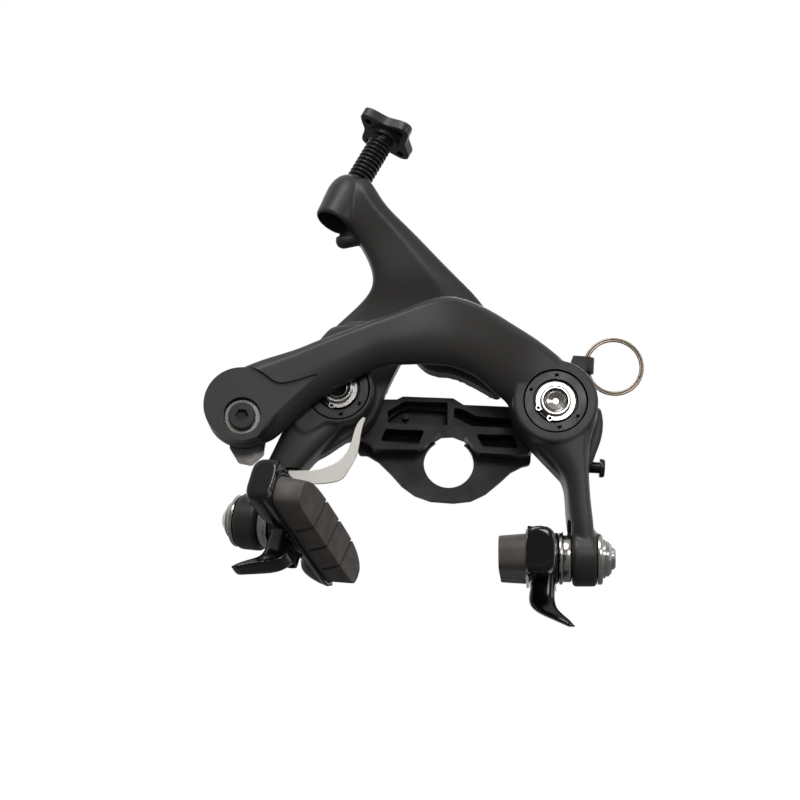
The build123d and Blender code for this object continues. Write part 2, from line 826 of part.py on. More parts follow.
# Cable adjuster: threaded barrel, knob and the ferrule that takes the cable housing
adjuster_section = Plane(
    origin=adjuster_mouth,
    x_dir=adjuster_plane.x_dir,
    z_dir=adjuster_plane.x_dir.cross(adjuster_axis),
)
barrel_crest = adjuster_thread_diameter / 2
barrel_root = barrel_crest - adjuster_thread_depth
spigot_radius = ferrule_diameter / 2 + running_gap - press_gap
spigot_start = knob_base - knob_hub_height - loose_gap
cable_bore = cable_diameter / 2 + loose_gap

with BuildPart() as adjuster_barrel:
    with BuildSketch(adjuster_section):
        with BuildLine():
            ridges = [(cable_bore, barrel_start), (barrel_root, barrel_start)]
            for ridge in range(int((spigot_start - barrel_start) / adjuster_thread_pitch)):
                low = barrel_start + ridge * adjuster_thread_pitch
                ridges.append((barrel_root, low + 0.15 * adjuster_thread_pitch))
                ridges.append((barrel_crest, low + 0.40 * adjuster_thread_pitch))
                ridges.append((barrel_crest, low + 0.75 * adjuster_thread_pitch))
                ridges.append((barrel_root, low + adjuster_thread_pitch))
            ridges.append((barrel_root, spigot_start))
            ridges.append((spigot_radius, spigot_start))
            ridges.append((spigot_radius, barrel_top))
            ridges.append((cable_bore, barrel_top))
            Polyline(*ridges, close=True)
        make_face()
    revolve(axis=Axis(adjuster_mouth, adjuster_axis))
finish("adjuster_barrel", adjuster_barrel.part)

knob_half_side = knob_lobe_circle / sqrt(2) + knob_lobe_radius
with BuildPart() as adjuster_knob:
    with BuildSketch(adjuster_plane.offset(knob_base).rotated((0, 0, knob_turn))) as grip:
        RectangleRounded(2 * knob_half_side, 2 * knob_half_side, knob_lobe_radius)
        with PolarLocations(knob_half_side + knob_scallop_radius - knob_scallop_depth, 4):
            Circle(knob_scallop_radius, mode=Mode.SUBTRACT)
        fillet(grip.vertices().sort_by_distance((0, 0, 0))[:8], 1.0)
    extrude(amount=knob_thickness)
    chamfer(adjuster_knob.faces().sort_by(Axis(adjuster_mouth, adjuster_axis))[-1].edges(), light_chamfer)
    ring(adjuster_plane.offset(knob_base - knob_hub_height), knob_hub_radius, 0, knob_hub_height)
    with BuildSketch(adjuster_plane.offset(knob_base).rotated((0, 0, knob_turn))):
        with PolarLocations(knob_lobe_circle - 0.5, 4, start_angle=45):
            Circle(knob_dimple_diameter / 2)
    extrude(amount=knob_dimple_depth, mode=Mode.SUBTRACT)
    ring(
        adjuster_plane.offset(knob_base - knob_hub_height - 1),
        ferrule_diameter / 2 + running_gap,
        0,
        knob_hub_height + knob_thickness + 2,
        Mode.SUBTRACT,
    )
finish("adjuster_knob", adjuster_knob.part)

with BuildPart() as cable_ferrule:
    ring(adjuster_plane.offset(ferrule_start), ferrule_diameter / 2, cable_bore, ferrule_floor)
    ring(
        adjuster_plane.offset(ferrule_start + ferrule_floor),
        ferrule_diameter / 2,
        housing_diameter / 2 + running_gap,
        ferrule_height - ferrule_floor,
    )
finish("cable_ferrule", cable_ferrule.part)


def link_at(depth):
    """Plane on the axis of the link pin at a depth."""
    return Plane(origin=(link_open[0], depth, link_open[1]), x_dir=(1, 0, 0), z_dir=(0, 1, 0))


# Link between the arms: pin in the front arm, roller in the slot of the rear arm
link_roller_back = link_front + link_roller_width
with BuildPart() as link_pin:
    ring(link_at(link_pin_start), link_pin_diameter / 2, 0, link_roller_back + running_gap - link_pin_start)
    ring(link_at(link_roller_back + running_gap), link_pin_head_radius, 0, link_pin_head_height)
    chamfer(link_pin.faces().sort_by(Axis.Y)[-1].edges(), light_chamfer)
finish("link_pin", link_pin.part)

with BuildPart() as link_roller:
    ring(
        link_at(link_front),
        link_roller_diameter / 2,
        link_pin_diameter / 2 + running_gap,
        link_roller_width,
    )
finish("link_roller", link_roller.part)

# Centring screw
with BuildPart() as centring_screw:
    screw_start = screw_plane.offset(-screw_reach + loose_gap)
    ring(screw_start, screw_diameter / 2, 0, screw_reach - loose_gap + screw_exposed)
    ring(screw_plane.offset(screw_exposed), screw_head_diameter / 2, 0, screw_head_height)
    chamfer(centring_screw.faces().sort_by(Axis.X)[-1].edges(), light_chamfer)
    with BuildSketch(screw_plane.offset(screw_exposed + screw_head_height)):
        RegularPolygon(screw_hex / 2, 6, major_radius=False)
    extrude(amount=-screw_head_height, mode=Mode.SUBTRACT)
finish("centring_screw", centring_screw.part)

# Return leaf, seated in the front of the rear arm's strut
with BuildPart() as return_leaf:
    extrude(leaf_face(leaf_front), amount=leaf_thickness)
finish("return_leaf", return_leaf.part)

# Mounting jig behind the arms: beam with pockets, rings round the bolt heads and a thin lobe
jig_back = jig_front + jig_depth
jig_beam = [
    (-24.0, 1.2),
    (-16.8, 1.4),
    (-13.0, 1.6),
    (-11.5, 2.5),
    (1.8, 2.8),
    (4.6, 1.2),
    (15.5, 1.4),
    (24.0, 1.4),
    (24.0, -8.0),
    (22.4, -10.8),
    (20.1, -11.4),
    (9.6, -11.4),
    (7.6, -9.6),
    (5.4, -6.9),
    (2.3, -5.9),
    (-0.7, -6.2),
    (-3.0, -7.8),
    (-5.0, -10.5),
    (-6.7, -11.5),
    (-18.2, -12.1),
    (-19.1, -10.9),
    (-24.0, -8.0),
]
jig_pockets = [
    [(-15.3, -1.7), (-10.9, 1.2), (0.4, 1.6), (0.7, -4.6), (-15.0, -4.9)],
    [(2.2, 0.3), (4.0, 0.2), (8.1, -1.6), (17.2, -1.8), (17.9, -4.3), (2.2, -4.5)],
    [(-16.6, -9.8), (-15.5, -6.5), (-5.2, -6.3), (-6.6, -10.2)],
    [(8.2, -6.5), (18.3, -6.1), (19.4, -9.6), (10.4, -9.8)],
]
jig_steps = [
    [(-15.9, -1.5), (-10.9, 2.0), (0.9, 2.2), (0.9, 0.3), (-9.3, 0.4), (-12.2, -0.4), (-15.6, -3.2)],
    [(1.6, -0.9), (2.8, -1.2), (7.8, -3.4), (8.9, -5.1), (1.6, -5.1)],
]
jig_lobe = [
    (-22.6, -8.0),
    (-22.6, -12.5),
    (-20.1, -12.4),
    (-17.0, -14.0),
    (-13.7, -16.9),
    (-10.5, -20.1),
    (-7.0, -22.4),
    (-2.6, -23.7),
    (3.4, -23.8),
    (8.0, -23.0),
    (11.8, -20.9),
    (15.3, -17.6),
    (18.2, -14.6),
    (21.1, -12.9),
    (23.2, -12.3),
    (23.2, -8.0),
]
jig_lug = [(29.0, 4.0), (35.0, 3.0), (36.35, 13.1), (36.35, 17.1), (32.95, 17.1)]
shoulder_radius = sleeve_flange_diameter / 2 + loose_gap
jig_bore_radius = bolt_head_radius + loose_gap
shoulder_depth = bolt_head_start + light_chamfer - jig_front
pull_ring_radius = (pull_ring_diameter - pull_ring_wire) / 2
pull_hinge = pull_ring_centre - Vector(pull_ring_radius, 0, 0)
pull_eye_radius = pull_ring_wire / 2 + pull_lug_height**2 / (8 * pull_ring_radius) + loose_gap
pull_lug_radius = pull_eye_radius + pull_lug_wall

with BuildPart() as jig_plate:
    plate(jig_beam, jig_front, jig_back, 0.6)
    plate(jig_lobe, jig_back - jig_lobe_thickness, jig_back, 1.0)
    for x in sides.values():
        with BuildSketch(depth_plane(jig_front)):
            with Locations(front(x, 0)):
                Circle(shoulder_radius + jig_ring_wall)
        extrude(amount=jig_depth)
    with BuildSketch(depth_plane(pull_hinge.Y - pull_lug_radius)):
        with BuildLine():
            Polyline(*[front(*point) for point in jig_lug], close=True)
        make_face()
    extrude(amount=2 * pull_lug_radius)
    with BuildSketch(Plane.XY.offset(pull_hinge.Z - pull_lug_height / 2)):
        with Locations((pull_hinge.X, pull_hinge.Y)):
            Circle(pull_lug_radius)
    extrude(amount=pull_lug_height)
    for pocket in jig_pockets:
        with BuildSketch(depth_plane(jig_front)) as hollow:
            with BuildLine():
                Polyline(*[front(*point) for point in pocket], close=True)
            make_face()
            fillet(hollow.vertices(), 0.5)
        extrude(amount=jig_depth - jig_floor, mode=Mode.SUBTRACT)
    for step in jig_steps:
        with BuildSketch(depth_plane(jig_back - jig_step_height)):
            with BuildLine():
                Polyline(*[front(*point) for point in step], close=True)
            make_face()
        extrude(amount=jig_step_height)
    with BuildSketch(depth_plane(jig_back - jig_step_height)):
        with Locations(front(*jig_stud_centre)):
            Circle(jig_stud_radius)
    extrude(amount=jig_step_height)
    for x in sides.values():
        pivot_plane = depth_plane(jig_front).move(Location((x, 0, 0)))
        ring(pivot_plane, shoulder_radius, 0, shoulder_depth, Mode.SUBTRACT)
        ring(pivot_plane, jig_bore_radius, 0, jig_depth + 1, Mode.SUBTRACT)
    with BuildSketch(depth_plane(jig_front)):
        with Locations(front(*jig_hole_centre)):
            Circle(jig_hole_diameter / 2)
    extrude(amount=jig_depth + 1, mode=Mode.SUBTRACT)
    with BuildSketch(Plane.XY.offset(pull_hinge.Z - pull_lug_height)):
        with Locations((pull_hinge.X, pull_hinge.Y)):
            Circle(pull_eye_radius)
    extrude(amount=2 * pull_lug_height, mode=Mode.SUBTRACT)
finish("jig_plate", jig_plate.part)

with BuildPart() as pull_ring:
    with Locations(Plane(origin=pull_ring_centre, x_dir=(1, 0, 0), z_dir=(0, 1, 0))):
        Torus(pull_ring_radius, pull_ring_wire / 2)
finish("pull_ring", pull_ring.part)


# Heat fin below each holder: height, along and towards the rim, then length and thickness
fin_stations = [
    (-3.0, 0.5, -4.0, 12.0, 6.0),
    (-7.5, 0.0, -3.6, 11.6, 6.4),
    (-11.5, -1.5, -3.4, 10.4, 6.6),
    (-14.2, -4.0, -5.2, 9.0, 6.0),
    (-16.2, -6.4, -8.2, 7.4, 4.2),
    (-18.0, -8.2, -10.8, 5.4, 1.6),
]


def fin_section(level, height, along, towards_rim, length, thickness):
    """Rounded section of the heat fin."""
    with BuildSketch(level(height, along, towards_rim)) as section:
        RectangleRounded(length, thickness, thickness * 0.3)
    return section.sketch


def pad_set(side):
    """Holder, pad, bolt, washers and nut on one side."""
    frame = pad_frames[side]
    up = frame.y_dir * rim_side[side]

    def level(height, along, towards_rim):
        """Plane across the pad's height, at a place along the pad and towards the rim."""
        place = frame.origin + up * height + frame.x_dir * along + frame.z_dir * towards_rim
        return Plane(origin=place, x_dir=frame.x_dir, z_dir=up)

    with BuildPart() as holder:
        with BuildSketch(frame.offset(-holder_floor)) as back:
            RectangleRounded(holder_length, holder_height, holder_corner)
        extrude(back.sketch, amount=holder_floor + pad_pocket_depth)
        nose_centre = (holder_nose_length - holder_length) / 2 + holder_nose_inset
        with BuildSketch(frame.offset(-holder_floor + 0.2)) as nose_root:
            with Locations((nose_centre, 0)):
                RectangleRounded(holder_nose_length, holder_height - 2 * holder_nose_inset, 2.5)
        with BuildSketch(frame.offset(-holder_nose_depth)) as nose_top:
            with Locations((nose_centre + 1.0, 0)):
                RectangleRounded(holder_nose_length - 2.4, holder_height - 3.0, 2.0)
        loft([nose_root.sketch, nose_top.sketch])
        with BuildSketch(frame.offset(-holder_floor + 0.2)) as rib:
            Rectangle(holder_rib_length, holder_rib_height)
        extrude(rib.sketch, amount=-holder_rib_depth)
        ring(frame.offset(-holder_floor + 0.2), hub_radius, 0, holder_floor - 0.2 - hub_depth)
        loft([fin_section(level, *station) for station in fin_stations])
        with BuildSketch(level(-set_screw_level, set_screw_along, set_screw_back)) as boss:
            RectangleRounded(*set_screw_boss, 1.2)
        extrude(boss.sketch, amount=set_screw_level)
        with BuildSketch(frame) as pocket:
            RectangleRounded(pad_length + 2 * loose_gap, pad_height + 2 * loose_gap, 2.0)
        extrude(pocket.sketch, amount=pad_pocket_depth + 1, mode=Mode.SUBTRACT)
        ring(
            frame.offset(-hub_depth - 1),
            pad_bolt_diameter / 2 + running_gap,
            0,
            pad_bolt_bury + 1 + running_gap,
            Mode.SUBTRACT,
        )
        screw_mouth = level(-set_screw_level - 1, set_screw_along, set_screw_back)
        ring(
            screw_mouth,
            set_screw_diameter / 2 + set_screw_counterbore,
            0,
            1 + set_screw_recess,
            Mode.SUBTRACT,
        )
        ring(
            screw_mouth,
            set_screw_diameter / 2 + running_gap,
            0,
            1 + set_screw_recess + set_screw_length + running_gap,
            Mode.SUBTRACT,
        )
    finish(f"{side}_pad_holder", holder.part)

    with BuildPart() as set_screw:
        ring(
            level(-set_screw_level + set_screw_recess, set_screw_along, set_screw_back),
            set_screw_diameter / 2,
            0,
            set_screw_length,
        )
        socket_plane = level(-set_screw_level + set_screw_recess, set_screw_along, set_screw_back)
        with BuildSketch(socket_plane) as socket:
            RegularPolygon(set_screw_hex / 2, 6, major_radius=False)
        extrude(socket.sketch, amount=set_screw_length / 3, mode=Mode.SUBTRACT)
    finish(f"{side}_pad_set_screw", set_screw.part)

    with BuildPart() as brake_pad:
        with BuildSketch(frame.offset(running_gap)) as pad_back:
            RectangleRounded(pad_length, pad_height, 1.8)
        extrude(pad_back.sketch, amount=pad_pocket_depth)
        with BuildSketch(frame.offset(running_gap + pad_pocket_depth - 0.1)) as pad_base:
            RectangleRounded(pad_length, pad_height, 1.8)
        with BuildSketch(frame.offset(pad_depth)) as pad_face:
            RectangleRounded(pad_face_length, pad_face_height, 1.5)
        loft([pad_base.sketch, pad_face.sketch])
        for step in (-1, 0, 1):
            place = step * pad_groove_spacing + pad_groove_offset
            with BuildSketch(frame.offset(pad_depth)) as groove:
                with Locations((place, 0)):
                    Rectangle(pad_groove, 2 * pad_height, rotation=-pad_groove_slant * rim_side[side])
            extrude(groove.sketch, amount=-pad_groove_depth, mode=Mode.SUBTRACT)
    finish(f"{side}_brake_pad", brake_pad.part)

    with BuildPart() as bolt:
        bolt_reach = pad_bolt_end - hub_depth + pad_bolt_bury
        ring(frame.offset(-pad_bolt_end), pad_bolt_diameter / 2, 0, bolt_reach)
        chamfer(bolt.faces().sort_by(Axis(frame.origin, frame.z_dir))[0].edges(), heavy_chamfer)
    finish(f"{side}_pad_bolt", bolt.part)

    washer_bore = pad_bolt_diameter / 2 + running_gap
    stack = [
        ("dish_washer", inner_dish_start, pad_washer_diameter, dish_washer_thickness),
        ("ball_washer", inner_ball_start, ball_washer_diameter, ball_washer_thickness),
        ("outer_washer", outer_washer_start, pad_washer_diameter, outer_washer_thickness),
    ]
    for name, start, diameter, thickness in stack:
        with BuildPart() as washer:
            ring(frame.offset(-start), diameter / 2, washer_bore, -thickness)
            chamfer(washer.faces().sort_by(Axis(frame.origin, frame.z_dir))[0].edges(), light_chamfer)
        finish(f"{side}_{name}", washer.part)

    with BuildPart() as nut:
        with BuildSketch(frame.offset(-nut_start)) as hexagon:
            RegularPolygon(nut_width / 2, 6, major_radius=False)
            Circle(washer_bore, mode=Mode.SUBTRACT)
        extrude(hexagon.sketch, amount=-nut_height)
    finish(f"{side}_pad_nut", nut.part)


for side in sides:
    pad_set(side)
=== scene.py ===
"""Dresses the direct mount rim brake caliper: arms, pads, holders, knob, nuts, ring and studio."""

import bpy
import numpy as np
from bpy.props import FloatProperty, FloatVectorProperty, IntProperty, PointerProperty
from mathutils import Matrix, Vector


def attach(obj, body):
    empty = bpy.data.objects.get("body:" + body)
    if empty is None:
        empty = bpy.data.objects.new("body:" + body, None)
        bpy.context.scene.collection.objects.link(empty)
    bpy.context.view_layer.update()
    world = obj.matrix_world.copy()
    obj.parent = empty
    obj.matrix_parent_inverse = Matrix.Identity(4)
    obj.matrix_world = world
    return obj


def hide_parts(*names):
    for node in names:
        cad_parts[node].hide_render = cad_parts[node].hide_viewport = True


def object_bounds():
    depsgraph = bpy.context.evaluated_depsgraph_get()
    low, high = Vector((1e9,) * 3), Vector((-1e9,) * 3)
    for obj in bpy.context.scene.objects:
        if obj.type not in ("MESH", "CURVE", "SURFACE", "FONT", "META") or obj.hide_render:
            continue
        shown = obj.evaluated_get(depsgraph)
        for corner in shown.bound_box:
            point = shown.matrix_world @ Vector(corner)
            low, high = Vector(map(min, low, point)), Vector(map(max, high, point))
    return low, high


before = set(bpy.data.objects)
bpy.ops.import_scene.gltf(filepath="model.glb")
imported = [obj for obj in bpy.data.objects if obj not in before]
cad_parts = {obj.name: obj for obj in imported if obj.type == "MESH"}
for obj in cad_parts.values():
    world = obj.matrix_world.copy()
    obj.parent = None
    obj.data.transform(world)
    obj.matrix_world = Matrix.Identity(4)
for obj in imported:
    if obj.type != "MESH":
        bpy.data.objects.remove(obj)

bl_info = {
    "name": "Direct mount rim brake caliper",
    "version": (1, 0, 0),
    "blender": (4, 5, 0),
    "location": "3D View > Sidebar > Caliper",
    "description": "Builds the visible pieces of a direct mount rim brake caliper around its frame",
    "category": "Object",
}

# Frame of the object, in millimetres: pivots on the X axis, sleeves seated at Y 0
PIVOT_X = 28.0
CAD_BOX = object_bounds()
ASIDE = (0.37, 0.21, 0.9)
SHARP_ANGLE = 35.0
PAD_SHARP_ANGLE = 42.0
EDGE_ANGLE = 40.0
LEAST_FACES = 20


def tint(name, description, default):
    """A colour that the panel shows, as red, green and blue."""
    limits = {"size": 3, "min": 0, "max": 1}
    return FloatVectorProperty(name=name, description=description, default=default, subtype="COLOR", **limits)


def metres(name, description, default):
    """A length that the panel shows, in metres."""
    return FloatProperty(name=name, description=description, default=default, unit="LENGTH", precision=5)


class CaliperSizes(bpy.types.PropertyGroup):
    """Sizes of the modelled pieces."""

    voxel: metres("Arm grain size", "Edge of the cells that fuse each arm", 0.00034)
    ring_wire: metres("Ring wire", "Thickness of each turn of the pull ring", 0.00062)
    rib_pitch: metres("Rib pitch", "Distance between the fine ribs of a brake pad", 0.00062)
    rib_depth: metres("Rib depth", "Depth of the fine ribs of a brake pad", 0.00012)
    groove_depth: metres("Groove depth", "Depth of the wide grooves of a brake pad", 0.0013)
    edge: metres("Edge rounding", "Rounding of the edges of the small solid parts", 0.00014)
    smoothing: IntProperty(name="Arm smoothing", description="Passes that blend each arm", default=8)


class CaliperColours(bpy.types.PropertyGroup):
    """Colours of the finishes."""

    arm: tint("Arms", "Satin dark grey of both arms", (0.029, 0.0268, 0.0250))
    holder: tint("Holders", "Gloss black of the pad holders", (0.006, 0.006, 0.0065))
    knob: tint("Knob", "Satin black of the adjuster knob", (0.020, 0.0195, 0.019))
    jig: tint("Jig", "Matte black of the mounting jig and anchor bolt", (0.016, 0.017, 0.0165))
    cover: tint("Covers", "Black of the spring covers and bushes", (0.007, 0.007, 0.0075))
    rubber: tint("Pads", "Brown grey rubber of the brake pads", (0.125, 0.113, 0.104))
    bright: tint("Bright steel", "Turned washers, nuts and sleeves", (0.50, 0.485, 0.465))
    black_steel: tint("Black steel", "Blackened barrel, ferrule and screw", (0.045, 0.043, 0.042))
    spring: tint("Spring wire", "Drawn spring wire", (0.36, 0.35, 0.34))
    leaf: tint("Return leaf", "Brushed stainless strip", (0.60, 0.575, 0.54))
    nickel: tint("Pull ring", "Warm nickel plate", (0.36, 0.30, 0.245))
    floor: tint("Floor", "Pale studio floor", (0.86, 0.86, 0.86))


# Surfaces as arrays


def unit(vector):
    """A vector scaled to length one."""
    vector = np.asarray(vector, float)
    return vector / np.linalg.norm(vector)


def natural_spline(knots, values, places):
    """Natural cubic spline: through every value at its knot, with a steady curvature between."""
    knots = np.asarray(knots, float)
    flat = np.asarray(values, float).reshape(len(knots), -1)
    step = np.diff(knots)
    size = len(knots)
    system = np.eye(size)
    target = np.zeros_like(flat)
    inner = np.arange(1, size - 1)
    system[inner, inner - 1] = step[:-1]
    system[inner, inner] = 2 * (step[:-1] + step[1:])
    system[inner, inner + 1] = step[1:]
    slope = np.diff(flat, axis=0) / step[:, None]
    target[1:-1] = 6 * np.diff(slope, axis=0)
    bend = np.linalg.solve(system, target)
    run = np.clip(np.searchsorted(knots, places, side="right") - 1, 0, size - 2)
    after = ((places - knots[run]) / step[run])[:, None]
    before = 1 - after
    span = step[run][:, None] ** 2 / 6
    out = before * flat[run] + after * flat[run + 1]
    out += span * ((before**3 - before) * bend[run] + (after**3 - after) * bend[run + 1])
    return out.reshape((len(places),) + np.shape(values)[1:])


def round_basis(controls, samples):
    """Weights of a closed cubic B-spline: one row for each sample, one column for each control."""
    place = np.arange(samples) * controls / samples
    first = np.floor(place).astype(int)
    t = place - first
    weights = np.stack([(1 - t) ** 3, 3 * t**3 - 6 * t**2 + 4, -3 * t**3 + 3 * t**2 + 3 * t + 1, t**3]) / 6
    basis = np.zeros((samples, controls))
    for shift in range(4):
        np.add.at(basis, (np.arange(samples), (first + shift - 1) % controls), weights[shift])
    return basis


def evenly_splined(rows, along):
    """Natural spline through rows one step apart, with a number of runs to each step."""
    knots = np.arange(len(rows))
    return natural_spline(knots, rows, np.linspace(0, knots[-1], along * knots[-1] + 1))


def limb_net(stations, section, along=6, around=72):
    """Surface of a limb. Its first parameter runs along the stations on a natural cubic spline,
    and its second round a closed cubic B-spline section, whose controls lie at given shares of
    the width from low to high and at given depths behind the front or the back."""
    stations = np.array(stations, float)
    low, high, depths = stations[:, None, :2], stations[:, None, 2:4], stations[:, 4:]
    share = section[:, :1]
    flat = low * (1 - share) + high * share
    deep = np.where(section[:, 2] > 0.5, depths[:, 1:], depths[:, :1]) + section[:, 1]
    net = np.stack([flat[..., 0], deep, flat[..., 1]], axis=-1)
    middle = net.mean(axis=1)
    knots = np.concatenate([[0], np.cumsum(np.linalg.norm(np.diff(middle, axis=0), axis=1) ** 0.5)])
    rows = natural_spline(knots, net, np.linspace(0, knots[-1], along * (len(net) - 1) + 1))
    return np.einsum("sc,rcd->rsd", round_basis(net.shape[1], around), rows)


def square_to(axis):
    """Two directions at right angles to an axis and to each other."""
    side = unit(np.cross(axis, ASIDE))
    return side, np.cross(axis, side)


def turned(profile, origin, axis, around=64):
    """Surface of revolution: the profile's radius and height, carried round the axis."""
    axis = unit(axis)
    side, other = square_to(axis)
    angle = np.linspace(0, 2 * np.pi, around, endpoint=False)
    profile = np.asarray(profile, float)
    out = np.cos(angle)[:, None] * side + np.sin(angle)[:, None] * other
    return np.asarray(origin, float) + profile[:, :1, None] * out + profile[:, 1][:, None, None] * axis


def bar(radius, start, stop, origin, axis=(0, 1, 0), around=72):
    """Round bar along an axis, which is Y unless told otherwise."""
    return turned([(radius, start), (radius, stop)], origin, axis, around)


def wall(outline, start, stop, origin=(0, 0, 0), across=(1, 0, 0), up=(0, 0, 1), axis=(0, 1, 0)):
    """Wall of a flat outline, carried straight along an axis from one place to another. The outline
    lies in X and Z and the axis is Y unless told otherwise."""
    outline = np.asarray(outline, float)
    flat = outline[:, :1] * np.asarray(across) + outline[:, 1:] * np.asarray(up) + np.asarray(origin)
    return np.array([flat + np.asarray(axis) * start, flat + np.asarray(axis) * stop])


def capsule(length, radius, steps=20):
    """Closed outline of a slot: two half circles, set apart along the second direction."""
    angle = np.linspace(0, np.pi, steps)
    top = np.stack([radius * np.cos(angle), radius * np.sin(angle) + length / 2], axis=1)
    return np.concatenate([top, -top])


def rounded(outline, passes=3, share=0.25):
    """Closed outline with its corners cut: each pass puts two points on every run."""
    outline = np.asarray(outline, float)
    for _ in range(passes):
        following = np.roll(outline, -1, axis=0)
        pair = [outline * (1 - share) + following * share, outline * share + following * (1 - share)]
        outline = np.stack(pair, 1).reshape(-1, outline.shape[1])
    return outline


def closed_shell(grid):
    """Vertices and faces of a grid that is closed round its second axis, with a fan on both ends."""
    rows, columns = grid.shape[:2]
    index = np.arange(rows * columns).reshape(rows, columns)
    following = np.roll(index, -1, axis=1)
    quads = np.stack([index[:-1], following[:-1], following[1:], index[1:]], axis=-1).reshape(-1, 4)
    start, end = rows * columns, rows * columns + 1
    points = np.concatenate([grid.reshape(-1, 3), [grid[0].mean(axis=0)], [grid[-1].mean(axis=0)]])
    first = np.stack([np.full(columns, start), following[0], index[0]], axis=1)
    last = np.stack([np.full(columns, end), index[-1], following[-1]], axis=1)
    return points, [quads, first, last]


def outward(points, faces):
    """The faces, turned round if the volume that they enclose comes out negative."""
    volume = 0.0
    for group in faces:
        corner = points[group]
        for number in range(1, group.shape[1] - 1):
            volume += np.sum(corner[:, 0] * np.cross(corner[:, number], corner[:, number + 1]))
    return faces if volume > 0 else [group[:, ::-1] for group in faces]


def mesh_from(name, shells):
    """Mesh of closed grids given in millimetres, each turned to face outwards."""
    points, counts, corners = [], [], []
    total = 0
    for grid in shells:
        own, faces = closed_shell(grid)
        for group in outward(own, faces):
            counts.append(np.full(len(group), group.shape[1]))
            corners.append((group + total).ravel())
        points.append(own)
        total += len(own)
    points, counts, corners = np.concatenate(points), np.concatenate(counts), np.concatenate(corners)
    mesh = bpy.data.meshes.new(name)
    mesh.vertices.add(len(points))
    mesh.vertices.foreach_set("co", (points * 0.001).astype(np.float32).ravel())
    mesh.loops.add(len(corners))
    mesh.loops.foreach_set("vertex_index", corners.astype(np.int32))
    mesh.polygons.add(len(counts))
    mesh.polygons.foreach_set("loop_start", np.concatenate([[0], np.cumsum(counts)[:-1]]).astype(np.int32))
    mesh.update(calc_edges=True)
    mesh.validate()
    mesh.shade_smooth()
    return mesh


def new_object(name, data):
    """Object at the origin that shows its data."""
    piece = bpy.data.objects.new(name, data)
    bpy.context.scene.collection.objects.link(piece)
    return piece


def shell_object(name, shells):
    """Object at the origin made of closed grids given in millimetres."""
    return new_object(name, mesh_from(name, shells))


def smoothed(mesh, sharp=SHARP_ANGLE):
    """Shades a mesh smoothly, except across its sharp edges."""
    mesh.shade_smooth()
    mesh.set_sharp_from_angle(angle=np.radians(sharp))


def applied(piece):
    """Replaces a piece's mesh by what its modifiers give, with its sharp edges marked."""
    bpy.context.view_layer.update()
    graph = bpy.context.evaluated_depsgraph_get()
    mesh = bpy.data.meshes.new_from_object(piece.evaluated_get(graph))
    piece.modifiers.clear()
    piece.data = mesh
    smoothed(mesh)
    return piece


def fused(name, shells, voxel, smoothing):
    """One skin round overlapping shells, blended where they meet."""
    piece = shell_object(name, shells)
    remesh = piece.modifiers.new("Fuse", "REMESH")
    remesh.mode = "VOXEL"
    remesh.voxel_size = voxel
    blend = piece.modifiers.new("Blend", "SMOOTH")
    blend.factor = 0.5
    blend.iterations = smoothing
    return applied(piece)


def bevelled(piece):
    """Rounds a piece's sharp edges a little."""
    bevel = piece.modifiers.new("Edge", "BEVEL")
    bevel.limit_method = "ANGLE"
    bevel.angle_limit = np.radians(EDGE_ANGLE)
    bevel.width = bpy.context.scene.caliper_sizes.edge
    bevel.segments = 2


def cut(piece, shells):
    """Takes closed cutters out of a piece, one after the other."""
    cutters = [shell_object(f"cutter_{number}", [grid]) for number, grid in enumerate(shells)]
    for cutter in cutters:
        boolean = piece.modifiers.new(cutter.name, "BOOLEAN")
        boolean.object = cutter
        boolean.operation = "DIFFERENCE"
        boolean.solver = "MANIFOLD"
    applied(piece)
    for cutter in cutters:
        bpy.data.objects.remove(cutter)
    if len(piece.data.polygons) < LEAST_FACES:
        raise RuntimeError(f"{piece.name} lost its skin in a cut")
    return piece


# Finishes


def put(tree, kind, inputs=None, **settings):
    """Adds a shader node, sets its options, and fills its inputs with values or links. An input goes
    by its name or by its number."""
    node = tree.nodes.new("ShaderNode" + kind)
    for key, value in settings.items():
        setattr(node, key, value)
    for key, value in (inputs or {}).items():
        if isinstance(value, bpy.types.NodeSocket):
            tree.links.new(value, node.inputs[key])
        else:
            node.inputs[key].default_value = value
    return node


def maths(tree, operation, *values):
    """Output of a maths node."""
    return put(tree, "Math", dict(enumerate(values)), operation=operation).outputs[0]


def ramp(tree, value, low, high, least=0.0, most=1.0):
    """Output of a map range node: the least at the low value and the most at the high one."""
    inputs = {"Value": value, "From Min": low, "From Max": high, "To Min": least, "To Max": most}
    return put(tree, "MapRange", inputs).outputs[0]


def mixed(tree, share, first, second):
    """Colour between two colours."""
    return put(tree, "Mix", {0: share, 6: first, 7: second}, data_type="RGBA").outputs[2]


def noise(tree, scale, detail, place=None):
    """Value of a noise texture on a place, or else on the piece's Object coordinates."""
    place = place or put(tree, "TexCoord").outputs["Object"]
    return put(tree, "TexNoise", {"Vector": place, "Scale": scale, "Detail": detail}).outputs[0]


SOCKETS = {1: "NodeSocketFloat", 3: "NodeSocketVector", 4: "NodeSocketColor"}


def group_tree(name, inputs, outputs):
    """Empty node group: its tree, the sockets that its inputs come from and those that it puts out to.
    An input is given by its default value, and an output by its number of channels."""
    tree = bpy.data.node_groups.new(name, "ShaderNodeTree")
    for label, default in inputs.items():
        kind = SOCKETS[np.size(default)]
        tree.interface.new_socket(label, in_out="INPUT", socket_type=kind).default_value = default
    for label, size in outputs.items():
        tree.interface.new_socket(label, in_out="OUTPUT", socket_type=SOCKETS[size])
    return tree, tree.nodes.new("NodeGroupInput").outputs, tree.nodes.new("NodeGroupOutput").inputs


